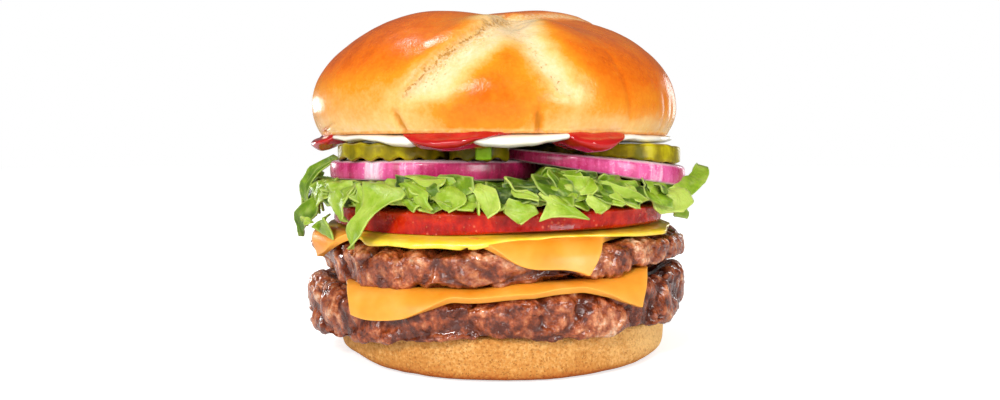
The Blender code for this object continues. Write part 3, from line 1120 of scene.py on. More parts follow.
@dataclass
class Crown:
    """Upper half of the bun: a dome of four lobes that parted in the oven."""

    segments: int = 420
    rings: int = 210
    fullness: float = 2.15
    waist: float = 7.5 * MM
    under_share: float = 0.07
    under_reach: float = 0.945
    lip_share: float = 0.24
    tuck: float = 0.055
    crossing: tuple[float, float] = (3.0 * MM, -17.0 * MM)
    creases: tuple[Crease, ...] = (
        Crease(12.8, 11.6, 0.2 * MM, 7.0 * MM, 1.1 * MM, 0.85 * MM),
        Crease(-25.5, -28.5, 0.2 * MM, 7.0 * MM, 0.9 * MM, 0.85 * MM),
        Crease(-12.0, -11.0, 0.2 * MM, 4.0 * MM, 0.25 * MM, 0.9 * MM),
        Crease(42.0, 37.0, 3.0 * MM, 21.0 * MM, 0.22 * MM, 0.9 * MM),
        Crease(62.0, 59.0, 1.0 * MM, 12.0 * MM, 0.22 * MM, 1.2 * MM),
        Crease(69.0, 66.0, 2.0 * MM, 10.0 * MM, 0.18 * MM, 1.2 * MM),
        Crease(-66.0, -48.0, 1.0 * MM, 3.6 * MM, 0.9 * MM, 2.2 * MM),
        Crease(-46.0, -44.0, 0.4 * MM, 7.0 * MM, 0.20 * MM, 1.4 * MM),
        Crease(131.0, 126.0, 0.5 * MM, 13.0 * MM, 0.35 * MM, 1.2 * MM),
        Crease(-122.0, -118.0, 0.5 * MM, 10.0 * MM, 0.35 * MM, 1.2 * MM),
    )

    def seams(self, share: Array) -> tuple[Array, ...]:
        """Directions of the four seams round their crossing, at a share of the dome's height.

        Args:
            share: Heights as a share of the dome's.

        Returns:
            One direction in radians for each seam, at each height.
        """
        front_left = np.radians(-41.0 + 20.0 * share + 22.0 * share ** 2)
        front_right = np.radians(23.6 - 25.0 * share)
        back_right = np.radians(153.0 - 33.0 * np.maximum(share, 0.0) ** 2)
        back_left = np.radians(-160.0 + 15.0 * share)
        return front_left, front_right, back_right, back_left

    def build(self) -> Skin:
        """Shapes the dome, its lobes, seams and wrinkles.

        Returns:
            The built mesh.
        """
        block = Block.of("bun_crown")
        grain = Grain(11)
        skin = Skin.ball("crown", self.segments, self.rings)
        angle, turn = skin.angle(), skin.turn()
        wide = block.half_y
        span_up = block.high - block.low
        climb = np.clip((turn - self.under_share) / (1.0 - self.under_share), 0.0, 1.0)
        lip = np.clip(climb / self.lip_share, 0.0, 1.0)
        latitude = 0.5 * pi * np.clip((climb - self.lip_share) / (1.0 - self.lip_share), 0.0, 1.0)
        power = 2.0 / self.fullness
        dome = self.waist + (span_up - self.waist) * np.sin(latitude) ** power
        height = np.where(climb < self.lip_share, self.waist * lip, dome)
        radius = np.where(climb < self.lip_share,
                          wide * (1.0 - self.tuck * (1.0 - lip) ** 2.0),
                          wide * np.maximum(np.cos(latitude), 0.0) ** power)
        under = turn < self.under_share
        radius = np.where(under, self.under_reach * wide * turn / self.under_share, radius)
        height = np.where(under, 0.0, height)
        skin.place(round_points(angle, radius, block.low + height, block.x))
        self._lobes(skin, block, grain, height, span_up, under)
        return skin

    def _lobes(self, skin: Skin, block: Block, grain: Grain, height: Array, span_up: float,
               under: Array) -> None:
        """Raises the lobes, opens the seams and keeps the marks for the finish.

        Args:
            skin: The dome.
            block: Place and size of the crown.
            grain: Noise.
            height: Heights above the crown's base.
            span_up: Height of the crown.
            under: Which points lie on the cut underside.
        """
        points = skin.points
        away_x = points[:, 0] - block.x - self.crossing[0]
        away_y = points[:, 1] - self.crossing[1]
        distance = np.hypot(away_x, away_y)
        bearing = np.arctan2(away_x, -away_y)
        share = np.clip((height - self.waist) / (span_up - self.waist), -0.1, 1.0)
        ragged = 0.7 * MM * grain.soft(points, 3.5 * MM)
        relief = 0.35 * MM * grain.layered(points, 16 * MM, 3)
        bake = self._bake(points, block, height)
        torn = 0.45 * ease(1.1 * MM, 0.3 * MM, height)
        strong = ease(-0.05, 0.30, share)
        calm = 1.0 - 0.75 * ease(0.80, 0.97, share)
        ends = ease(-0.06, 0.10, share) * ease(0.995, 0.95, share)
        beyond = ease(4.0 * MM, 14.0 * MM, distance)
        for seam, direction in zip(Seam, self.seams(share)):
            side = -1.0 if seam is Seam.BACK_RIGHT else 1.0
            off = side * 0.82 * distance * wrapped(bearing - direction) + ragged
            near = ease(10.0 * MM, 7.0 * MM, np.abs(off)) * ends * (0.3 + 0.7 * beyond)
            if seam is Seam.FRONT_RIGHT:
                relief += self._valley(off, strong * calm)
                band = bell(off, 1.8 * MM, 4.4 * MM)
                near *= 0.7
            else:
                relief += self._step(off, strong * calm)
                band = ease(-0.8 * MM, 0.6 * MM, off) * ease(13.0 * MM, 5.5 * MM, off)
                band = np.maximum(band, 0.40 * bell(off, -1.0 * MM, 2.6 * MM))
                torn = np.maximum(torn, bell(off, 1.4 * MM, 1.9 * MM) * strong)
            if seam is Seam.BACK_RIGHT:
                band *= ease(34 * MM, 46 * MM, distance)
                near *= ease(30 * MM, 40 * MM, distance)
            if seam is Seam.BACK_LEFT:
                band *= ease(8 * MM, 18 * MM, distance)
            band *= 1.0 - 0.95 * around(bearing, 165.0, 95.0) * ease(22 * MM, 14 * MM, distance)
            skin.mark(f"seam_{seam.value}", 0.5 + off / (SEAM_SPAN * MM))
            skin.mark(f"near_{seam.value}", near)
            bake *= 1.0 - 0.92 * band * ease(-0.16, 0.12, share)
        bake *= 1.0 - 0.80 * around(bearing, -12.0, 44.0) * ease(24 * MM, 14 * MM, distance)
        # more golden round the crossing of the seams: painted warm light on this shaded dip
        bake += 0.12 * bell(distance, 0.0, 8.0 * MM)
        ring = np.arctan2(points[:, 0] - block.x, -points[:, 1])
        fold = sum(crease.press(ring, height, block.half_y) for crease in self.creases)
        relief -= fold
        relief += self._swelling(bearing, distance) * ease(0.30, 0.75, share)
        crumbs = 0.26 * grain.soft(points, 1.8 * MM) + 0.26 * grain.soft(points, 0.8 * MM)
        relief += crumbs * MM * ease(1.8 * MM, 0.3 * MM, height)
        relief *= np.where(under, 0.0, ease(0.0, 0.6 * MM, height))
        skin.swell(relief)
        crumb_line = 0.40 * ease(0.9 * MM, 0.2 * MM, height)
        # the wrinkles are browned in bake and given the fold mark: painted shade in the creases
        skin.mark("bake", np.where(under, 0.08, bake + crumb_line) + 0.25 * fold / MM)
        skin.mark("fold", 0.65 * ease(0.25, 1.0, fold / MM))
        skin.mark("torn", 0.8 * torn)

    @staticmethod
    def _swelling(bearing: Array, distance: Array) -> Array:
        """How much each lobe has risen round the dip where the seams cross.

        Args:
            bearing: Directions from the crossing of the seams.
            distance: Distances from the crossing.

        Returns:
            The rise at each place.
        """
        back = 2.6 * MM * around(bearing, 150.0, 75.0) * bell(distance, 26.0 * MM, 17.0 * MM)
        left = 1.7 * MM * around(bearing, -98.0, 62.0) * bell(distance, 24.0 * MM, 15.0 * MM)
        right = -1.0 * MM * around(bearing, 80.0, 50.0) * bell(distance, 17.0 * MM, 16.0 * MM)
        front = 0.7 * MM * around(bearing, -18.0, 24.0) * bell(distance, 18.0 * MM, 10.0 * MM)
        return back + left + right + front - 1.0 * MM * bell(distance, 0.0, 10.0 * MM)

    @staticmethod
    def _step(off: Array, strong: Array) -> Array:
        """A lobe's swollen edge and the dough that was drawn out beside it.

        Args:
            off: Distance from the seam, with its sign.
            strong: How strong the seam is, 0 to 1.

        Returns:
            The rise at each place.
        """
        swollen = 0.5 * MM * bell(off, -4.0 * MM, 4.0 * MM)
        drawn = -1.3 * MM * ease(-1.4 * MM, 1.0 * MM, off) * bell(off, 0.0, 6.5 * MM)
        return strong * (swollen + drawn)

    @staticmethod
    def _valley(off: Array, strong: Array) -> Array:
        """A shallow pale valley with a swollen lobe on its far side.

        Args:
            off: Distance from the seam, with its sign.
            strong: How strong the seam is, 0 to 1.

        Returns:
            The rise at each place.
        """
        valley = -1.3 * MM * bell(off, 1.2 * MM, 3.2 * MM)
        swollen = 0.6 * MM * bell(off, 9.0 * MM, 4.5 * MM)
        return strong * (valley + swollen)

    @staticmethod
    def _bake(points: Array, block: Block, height: Array) -> Array:
        """How far each place is browned: light round the base, dark on the shoulders.

        Args:
            points: Places, one row each.
            block: Place and size of the crown.
            height: Heights above the crown's base.

        Returns:
            0 for pale to 1 for dark.
        """
        ring = np.arctan2(points[:, 0] - block.x, -points[:, 1])
        rise = height / MM
        usual = 0.20 + 0.17 * ease(0.5, 6.0, rise) + 0.34 * ease(5.0, 21.0, rise)
        right = 0.21 * around(ring, 46.0, 50.0) * ease(1.5, 8.0, rise) * (1.0 - 0.8 * ease(12.0, 23.0, rise))
        front = 0.38 * around(ring, -3.0, 27.0) * ease(0.2, 1.5, rise) * ease(17.0, 7.0, rise)
        left = -0.05 * around(ring, -35.0, 30.0) * ease(9.0, 3.0, rise)
        left += 0.16 * around(ring, -62.0, 55.0) * ease(10.0, 18.0, rise)
        back = 0.10 * around(ring, 180.0, 90.0) * ease(4.0, 16.0, rise)
        return usual + right + front + left + back


@dataclass
class Heel:
    """Lower half of the bun, with a fine open crust."""

    segments: int = 480
    rings: int = 150
    squareness: float = 0.20
    pore_size: float = 1.3 * MM
    pore_depth: float = 0.14 * MM

    def build(self) -> Skin:
        """Shapes the round base and its slight unevenness.

        Returns:
            The built mesh.
        """
        block = Block.of("bun_heel")
        grain = Grain(23)
        skin = Skin.ball("heel", self.segments, self.rings)
        angle, turn = skin.angle(), skin.turn()
        corner = 0.24 * around(angle, -74.0, 58.0) + 0.10 * around(angle, 78.0, 60.0)
        squareness = self.squareness + corner * ease(0.55, 0.45, turn)
        reach, share = rim_profile(turn, squareness)
        wide = block.half_x + 1.5 * MM * around(angle, 88.0, 60.0) * ease(0.40, 0.60, turn)
        x = block.x + wide * reach * np.sin(angle)
        y = block.y - block.half_y * reach * np.cos(angle)
        skin.place(np.column_stack((x, y, between(block.low, block.high, share))))
        points = skin.points
        rim = ease(0.90, 0.97, reach) * ease(-1.0, -0.93, share)
        uneven = 0.45 * MM * grain.layered(points, 14 * MM, 3)
        nearest, _, tone = grain.cells(points, self.pore_size)
        pits = -self.pore_depth * ease(0.36, 0.10, nearest) * (tone > 0.45)
        skin.swell(rim * (uneven + pits))
        rise = (points[:, 2] - block.low) / MM
        bake = 0.40 + 0.50 * ease(3.0, 0.4, rise) + 0.14 * ease(6.0, 1.0, rise)
        bake += 0.08 * grain.soft(points, 9 * MM) - 0.55 * around(angle, 78.0, 55.0)
        skin.mark("bake", bake)
        return skin


# ---------------------------------------------------------------------------------------------
# beef and cheese
# ---------------------------------------------------------------------------------------------

def right_rise(angle: Array) -> Array:
    """How far the rims bend up round to the right: 1 at the most."""
    return trace(angle, ((-60, 0.0), (-8, 0.0), (9, 0.34), (30, 0.42), (48, 0.85), (75, 1.0),
                         (120, 0.6), (170, 0.1), (230, 0.0)))


@dataclass
class Patty:
    """A pressed disc of mince with a lumpy, cracked rim."""

    node: str
    seed: int
    sag: float
    rise_low: float
    rise_high: float
    droop: float = 0.0
    lift: float = 0.0
    recess: float = 0.0
    tone: float = 0.50
    segments: int = 700
    rings: int = 140
    squareness: float = 0.40
    lower_squareness: float = 0.26
    # size, height, darkness of the painted shade in the gaps and their width as a share of the size
    grains: tuple[tuple[float, float, float, float], ...] = (
        (13 * MM, 2.0 * MM, 0.80, 0.11), (4.6 * MM, 0.36 * MM, 0.34, 0.14),
        (2.1 * MM, 0.30 * MM, 0.42, 0.20), (1.1 * MM, 0.12 * MM, 0.25, 0.20))

    def build(self) -> Skin:
        """Shapes the disc and lays the mince over its rim.

        Returns:
            The built mesh.
        """
        block = Block.of(self.node)
        grain = Grain(self.seed)
        skin = Skin.ball(self.node + "_mince", self.segments, self.rings)
        angle, turn = skin.angle(), skin.turn()
        turn = 0.5 + 0.5 * np.sign(turn - 0.5) * np.abs(2.0 * turn - 1.0) ** 1.5
        corner = np.where(turn < 0.5, self.lower_squareness, self.squareness)
        reach, share = rim_profile(turn, corner)
        flat = rim_key(angle, block.half_x, self.seed)
        outline = block.half_x - 0.7 * MM + 1.1 * MM * grain.soft(flat, 24 * MM)
        outline += 0.8 * MM * grain.soft(flat, 10 * MM)
        radius = outline * reach
        rim = ease(0.83, 0.96, reach)
        z = between(block.low, block.high, share) + rim * 0.7 * MM * grain.soft(flat + 3.0, 15 * MM)
        z -= self.sag * ease(0.88, 1.0, reach) * (0.5 - 0.5 * share)
        right = right_rise(angle) * ease(0.80, 0.97, reach)
        z += right * (0.5 * (1.0 - share) * self.rise_low + 0.5 * (1.0 + share) * self.rise_high)
        left = around(angle, -54.0, 44.0) * ease(0.91, 1.0, reach)
        z -= left * (0.5 - 0.5 * share) * self.droop
        far_left = around(angle, -80.0, 36.0) * ease(0.84, 0.97, reach)
        z += far_left * (0.5 + 0.5 * share) * self.lift
        radius *= 1.0 - self.recess * around(angle, -78.0, 34.0) * ease(0.5, -0.5, share)
        radius *= 1.0 - 0.5 * self.recess * around(angle, -60.0, 24.0)
        skin.place(round_points(angle, radius, z))
        self._mince(skin, grain, rim, ease(0.62, 0.78, reach), share)
        return skin

    def _mince(self, skin: Skin, grain: Grain, rim: Array, flats: Array, share: Array) -> None:
        """Lumps, grains and cracks, and the marks for the finish, with painted shade in the cracks and
        painted light on the lumps.

        Args:
            skin: The smooth disc.
            grain: Noise.
            rim: How much each point belongs to the rim.
            flats: How much each point belongs to the outer part of the faces.
            share: Share of the half height, -1 to 1.
        """
        points = skin.points
        bend = np.column_stack([grain.soft(points + shift, 6 * MM) for shift in (0.0, 3.0, 7.0)])
        warped = points + 2.0 * MM * bend
        relief = 0.5 * MM * grain.soft(warped, 5 * MM)
        depth = np.zeros(len(points))
        tone = self.tone + 0.32 * grain.soft(points, 8 * MM)
        for size, height, darkness, crack in self.grains:
            flat = 0.78 if size > 10 * MM else 1.0
            nearest, second, own = grain.cells(warped * (flat, flat, 0.8), size)
            gap = second - nearest
            dome = 1.0 - np.clip(nearest, 0.0, 1.0) ** 2
            relief += height * (0.8 * dome + 0.4 * ease(0.0, 2.0 * crack, gap) - 0.9)
            # depth gathers painted shade in the gaps between the grains
            depth = np.maximum(depth, darkness * ease(crack, 0.0, gap) * (0.35 + 0.65 * own))
            tone += 0.22 * (own - 0.5)
        pits = ease(0.42, 0.8, grain.soft(warped + 11.0, 3.2 * MM))
        relief -= 0.9 * MM * pits
        # the pits are darkened too, as painted shade
        depth = np.maximum(depth, 0.8 * pits)
        skin.swell(relief * rim + np.minimum(relief, 0.0) * np.maximum(flats - rim, 0.0))
        char = 0.75 * ease(0.55, 0.98, np.abs(share)) + 0.40 * grain.soft(points, 10 * MM)
        # the depth mark is painted shade; tone rises with the relief, painted light on the lumps and shade
        # in the hollows
        skin.mark("depth", 1.15 * depth)
        skin.mark("tone", tone + 0.27 * relief / MM)
        skin.mark("char", char)


@dataclass
class CheeseSlice:
    """A warm slice, draped over the patty below it."""

    node: str
    seed: int
    across: int = 130
    thickness: float = 1.8 * MM
    bend_inset: float = 2.6 * MM
    bend_radius: float = 3.8 * MM
    rise: float = 0.0
    gap: float = 0.25 * MM
    search: float = 4 * MM
    smoothings: int = 6
    edge_radius: float = 0.5 * MM

    def lay(self, u: Array, v: Array, rim: float) -> tuple[Array, Array]:
        """Flat outline of the slice before it is draped."""
        raise NotImplementedError

    def drape(self, x: Array, y: Array, rim: float) -> tuple[Array, Array, Array]:
        """Bends the flat slice over the rim.

        Args:
            x: Places on the flat slice, to the right.
            y: Places on the flat slice, to the back.
            rim: Radius of the patty.

        Returns:
            The new places to the right and to the back, and how far each has come down.
        """
        angle = np.arctan2(x, -y)
        bend = rim - self.bend_inset
        distance = np.hypot(x, y)
        over = np.maximum(distance - bend, 0.0)
        radius = np.minimum(distance, bend) + self.out(over)
        return radius * np.sin(angle), -radius * np.cos(angle), self.drop(over)

    @classmethod
    def out(cls, over: Array) -> Array:
        """How far the slice has come forward after running this far past the bend."""
        turn = np.minimum(over / cls.bend_radius, 0.5 * pi)
        return cls.bend_radius * np.sin(turn) + 0.10 * np.maximum(over - cls.bend_radius * pi / 2, 0)

    @classmethod
    def drop(cls, over: Array) -> Array:
        """How far it has come down.

        Args:
            over: Length past the bend.

        Returns:
            How far each place has come down.
        """
        turn = np.minimum(over / cls.bend_radius, 0.5 * pi)
        hanging = np.maximum(over - 0.5 * pi * cls.bend_radius, 0.0)
        return cls.bend_radius * (1.0 - np.cos(turn)) + hanging

    def build(self, below: Skin) -> Skin:
        """Drapes the slice over the patty, one thickness below the top of its block.

        Args:
            below: The patty.

        Returns:
            The built mesh.
        """
        block = Block.of(self.node)
        patty_rim = 0.5 * (below.points[:, 0].max() - below.points[:, 0].min())
        grain = Grain(self.seed)
        skin = Skin.sheet(self.node + "_slice", self.across, self.across)
        u, v = skin.points[:, 0].copy(), skin.points[:, 1].copy()
        x, y = self.lay(u, v, patty_rim)
        x, y, drop = self.drape(x, y, patty_rim)
        flat = np.column_stack((x, y, np.full(len(x), 0.1 * self.seed)))
        wave = 0.5 * MM * grain.soft(flat, 11 * MM) * ease(0.5 * MM, 4 * MM, drop)
        right = right_rise(np.arctan2(x, -y)) * ease(36 * MM, 47 * MM, np.hypot(x, y))
        z = block.high - self.thickness - drop + wave + self.rise * right
        hanging = drop > 0.2 * MM
        skin.place_clear(np.column_stack((x, y, z)), hanging, [below], self.gap, self.search)
        self._calm(skin, hanging)
        skin.mark("edge", ease(0.955, 1.0, np.maximum(np.abs(u), np.abs(v))))
        return skin

    def _calm(self, skin: Skin, hanging: Array) -> None:
        """Evens out the hanging part, as a soft slice bridges small bumps.

        Args:
            skin: The slice.
            hanging: Which points hang.
        """
        shape = bmesh.new()
        shape.from_mesh(skin.mesh)
        shape.verts.ensure_lookup_table()
        loose = [shape.verts[index] for index in np.flatnonzero(hanging)]
        for _ in range(self.smoothings):
            bmesh.ops.smooth_vert(shape, verts=loose, factor=0.5, use_axis_x=True,
                                  use_axis_y=True, use_axis_z=True)
        shape.to_mesh(skin.mesh)
        shape.free()
        skin.refresh()

    def dress(self, skin: Skin, material: Material) -> bpy.types.Object:
        """Adds the thickness with softly rounded edges.

        Args:
            skin: The built mesh.
            material: The finish.

        Returns:
            The finished piece.
        """
        piece = skin.finish(material, Slot.CHEESE, self.node)
        wall = piece.modifiers.new("thickness", "SOLIDIFY")
        wall.thickness = self.thickness
        wall.offset = 1.0
        wall.use_even_offset = True
        round_edges = piece.modifiers.new("soft_edges", "BEVEL")
        round_edges.width = self.edge_radius
        round_edges.segments = 3
        round_edges.limit_method = "ANGLE"
        round_edges.angle_limit = radians(50.0)
        return piece


@dataclass
class LowerSlice(CheeseSlice):
    """Square to the front, hanging lowest at its two front corners."""

    front_half: float = 36.0 * MM
    back_half: float = 39.0 * MM
    length: float = 86.0 * MM
    # place across the front edge, and how many mm it hangs over the rim there
    hang: Stops = ((-1.0, 10.8), (-0.88, 10.4), (-0.74, 9.6), (-0.62, 8.5), (-0.46, 6.0),
                   (-0.30, 3.4), (0.0, 3.6), (0.24, 4.0), (0.41, 3.4), (0.59, 3.8), (0.79, 6.6),
                   (0.91, 9.4), (1.0, 12.0))

    def lay(self, u: Array, v: Array, rim: float) -> tuple[Array, Array]:
        """Flat outline: drawn in at the front, with a wavy front edge.

        Args:
            u: Place across the slice, -1 to 1.
            v: Place from its front to its back, -1 to 1.
            rim: Radius of the patty.

        Returns:
            Places to the right and to the back.
        """
        bend = rim - self.bend_inset
        front = -np.sqrt(bend ** 2 - (u * self.front_half) ** 2) - np.interp(u, *zip(*self.hang)) * MM
        back = self.length - rim
        y = front + 0.5 * (v + 1.0) * (back - front)
        widen = ease(-32 * MM, 0.0, y)
        narrow = 1.0 - 0.08 * ease(-0.70, -1.0, v)
        return u * (self.front_half + widen * (self.back_half - self.front_half)) * narrow, y

    def drape(self, x: Array, y: Array, rim: float) -> tuple[Array, Array, Array]:
        """The front runs straight forward over the rim; the back bends all ways.

        Args:
            x: Places on the flat slice, to the right.
            y: Places on the flat slice, to the back.
            rim: Radius of the patty.

        Returns:
            The new places, and how far each has come down.
        """
        round_x, round_y, round_drop = super().drape(x, y, rim)
        bend = rim - self.bend_inset
        depth = np.sqrt(np.maximum(bend ** 2 - x ** 2, (0.3 * bend) ** 2))
        over = np.maximum(-y - depth, 0.0)
        front_y = np.maximum(y, -depth) - self.out(over) * np.minimum(bend / depth, 1.6)
        front = y < 0.0
        return (np.where(front, x, round_x), np.where(front, front_y, round_y),
                np.where(front, self.drop(over), round_drop))


@dataclass
class UpperSlice(CheeseSlice):
    """Turned, so that one corner hangs right of the front and one at the left."""

    half: float = 38.7 * MM
    turn: float = radians(20.0)

    def lay(self, u: Array, v: Array, rim: float) -> tuple[Array, Array]:
        """Flat outline: a turned square whose warm front edge has sagged forward.

        Args:
            u: Place across the slice, -1 to 1.
            v: Place from its front to its back, -1 to 1.
            rim: Radius of the patty; not used.

        Returns:
            Places to the right and to the back.
        """
        sag = 8.2 * MM * bell(u, 0.42, 0.46) + 2.4 * MM * bell(u, 0.64, 0.22)
        sag += 5.5 * MM * bell(u, -0.68, 0.25)
        sag *= np.clip(0.5 - 0.5 * v, 0.0, 1.0) ** 3
        drawn = 2.2 * MM * bell(u, 1.0, 0.30) * bell(v, -0.66, 0.28)
        right, back = sin(self.turn), cos(self.turn)
        x = self.half * (u * back + v * right) - sag * right - drawn + 0.4 * MM
        y = self.half * (v * back - u * right) - sag * back - 1.5 * MM
        return x, y

    def drape(self, x: Array, y: Array, rim: float) -> tuple[Array, Array, Array]:
        """As usual, with the left corner lying closer to the beef.

        Args:
            x: Places on the flat slice, to the right.
            y: Places on the flat slice, to the back.
            rim: Radius of the patty.

        Returns:
            The new places, and how far each has come down.
        """
        x, y, drop = super().drape(x, y, rim)
        closer = 0.055 * around(np.arctan2(x, -y), -66.0, 30.0) * ease(-1.0 * MM, 4.0 * MM, drop)
        return x * (1.0 - closer), y * (1.0 - closer), drop


# ---------------------------------------------------------------------------------------------
# mustard and tomato
# ---------------------------------------------------------------------------------------------

@dataclass
class Mustard:
    """A spread under the tomato that swells out over the edge of the cheese."""

    segments: int = 360
    rings: int = 60
    squareness: float = 0.5
    cheese_rim: float = 48.7 * MM
    gap: float = 0.05 * MM
    # direction and radius in mm
    outline: Stops = ((-90, 45.6), (-60, 46.2), (-44, 48.6), (-34, 51.2), (-18, 51.6),
                      (-4, 51.2), (10, 49.9), (24, 49.2), (38, 50.4), (52, 50.6),
                      (66, 47.4), (90, 45.8), (135, 46.4), (180, 45.4), (225, 46.2))
    # direction and thickness of the bead
    bead: Stops = ((-90, 0.5), (-50, 0.9), (-34, 1.45), (-10, 1.45), (6, 0.85),
                   (16, 0.45), (34, 0.6), (52, 0.9), (70, 0.5), (180, 0.5))

    def build(self, below: Skin, above: Skin) -> Skin:
        """Shapes the spread between the cheese below and the tomato above.

        Args:
            below: The cheese.
            above: The tomato.

        Returns:
            The built mesh.
        """
        block = Block.of("mustard")
        grain = Grain(41)
        skin, angle, reach, share = Skin.disc("mustard_spread", self.segments, self.rings,
                                              self.squareness)
        ring = rim_key(angle, 50 * MM)
        outline = trace(angle, self.outline) * MM + 0.5 * MM * grain.soft(ring, 8 * MM)
        outline += 0.2 * MM * grain.soft(ring, 3 * MM)
        bead = trace(angle, self.bead) * (1.0 + 0.25 * grain.soft(ring, 9 * MM))
        radius = outline * reach
        swell = ease(0.86, 0.97, reach)
        over = np.maximum(radius - self.cheese_rim, 0.0)
        top = block.high - 0.7 * MM * swell * around(angle, -30.0, 70.0)
        top -= 0.55 * CheeseSlice.drop(over)
        low = block.low - swell * np.maximum(2.5 * bead * MM - 0.9 * MM, 0.0)
        low -= 0.35 * CheeseSlice.drop(over)
        points = round_points(angle, radius, between(low, top, share))
        skin.place_clear(points, swell > 0.05, [above, below], self.gap, SEARCH)
        return skin


@dataclass
class TomatoSlice:
    """One thick slice."""

    segments: int = 330
    rings: int = 84
    squareness: float = 0.22
    pockets: int = 7
    pocket_depth: float = 0.35 * MM

    def build(self) -> Skin:
        """Shapes the slice, its seed pockets and the marks for the finish.

        Returns:
            The built mesh.
        """
        block = Block.of("tomato_slice")
        grain = Grain(43)
        skin, angle, reach, share = Skin.disc("tomato", self.segments, self.rings, self.squareness)
        ring = rim_key(angle, 44 * MM, share)
        lean = 0.5 * MM * share * np.cos(angle - 0.6)
        radius = (block.half_x + 0.45 * MM * grain.soft(ring, 16 * MM) + lean) * reach
        z = between(block.low, block.high, share)
        z += 0.35 * MM * grain.soft(ring, 20 * MM) * ease(0.7, 1.0, reach)
        sag = 0.45 + 1.15 * around(angle, -30.0, 70.0)
        z -= sag * MM * ease(0.93, 1.0, reach) * (0.5 - 0.5 * share)
        skin.place(round_points(angle, radius, z, block.x, block.y))
        points = skin.points
        face = ease(0.955, 0.935, reach)
        spoke = np.cos(self.pockets * angle + 1.5 * grain.soft(points, 30 * MM))
        pocket = ease(0.0, 0.5, spoke) * ease(0.30, 0.42, reach) * ease(0.86, 0.78, reach)
        skin.swell(-self.pocket_depth * pocket + 0.10 * MM * grain.layered(points, 4 * MM, 3))
        skin.mark("face", face)
        skin.mark("pocket", pocket)
        # lighter towards the top of the side: painted light
        skin.mark("glow", 0.5 + 0.5 * share)
        return skin


# ---------------------------------------------------------------------------------------------
# lettuce
# ---------------------------------------------------------------------------------------------

Rail = tuple[Triple, ...]


@dataclass(frozen=True)
class Leaf:
    """A cut piece of leaf stretched between two edges.

    Each edge is a line of places: direction in degrees, height and distance from the axis in mm.
    """

    tone: float
    first: Rail
    second: Rail
    bow: float = 0.8

    def edge(self, rail: Rail, share: Array) -> Array:
        """Places along one edge, in direction (radians), height and distance.

        Args:
            rail: The edge.
            share: Share along the edge, 0 to 1.

        Returns:
            The places, one row each.
        """
        stops = np.array(rail, dtype=float)
        angle, height, distance = stops[0]
        if 43.4 < height < 46.3 and distance > 47.5:
            root = (angle, min(height + 0.5, BED_TOP / MM), 45.5)
            stops = np.vstack((root, stops))
        stops[:, 0] = np.radians(stops[:, 0])
        stops[:, 1:] *= MM
        flat = np.column_stack((stops[:, 0] * 0.05, stops[:, 1], stops[:, 2]))
        step = np.linalg.norm(np.diff(flat, axis=0), axis=1)
        at = np.concatenate(([0.0], np.cumsum(step)))
        return np.column_stack([np.interp(share * at[-1], at, column) for column in stops.T])

    def surface(self, along: Array, across: Array, grain: Grain) -> Array:
        """Places of the leaf.

        Args:
            along: Share along the edges, 0 to 1.
            across: Share from the first edge to the second, 0 to 1.
            grain: Noise for its ruffles.

        Returns:
            Places in metres, one row each.
        """
        first, second = self.edge(self.first, along), self.edge(self.second, along)
        teeth = np.abs((3.3 * along + 7.0 * self.tone) % 2.0 - 1.0)
        across = 0.5 + (across - 0.5) * (1.0 - 0.17 * teeth)
        mixed = first + across[:, None] * (second - first)
        belly = np.sin(pi * across) * np.sin(pi * np.clip(along, 0.04, 0.96))
        key = np.column_stack((mixed[:, 0] * 0.05, mixed[:, 1], np.full(len(along), self.tone)))
        ruffle = 0.7 * MM * grain.soft(key, 5.5 * MM) + 0.3 * MM * grain.soft(key, 2.0 * MM)
        crease = np.zeros(len(along))
        for spin, height in ((0.0, 2.6), (2.2, -2.2), (4.1, 1.7)):
            turn = 5.0 * self.tone + 3.0 * self.bow + spin
            fold = (along - 0.5) * cos(turn) + (across - 0.5) * sin(turn)
            crease += height * MM * np.abs(fold + 0.22 * sin(9.0 * self.tone + 5.0 * spin))
        crease -= crease.mean()
        distance = mixed[:, 2] + self.bow * MM * belly + ruffle + crease
        lift = 0.45 * MM * grain.soft(key + 0.7, 4.5 * MM)
        return round_points(mixed[:, 0], distance, mixed[:, 1] + lift)


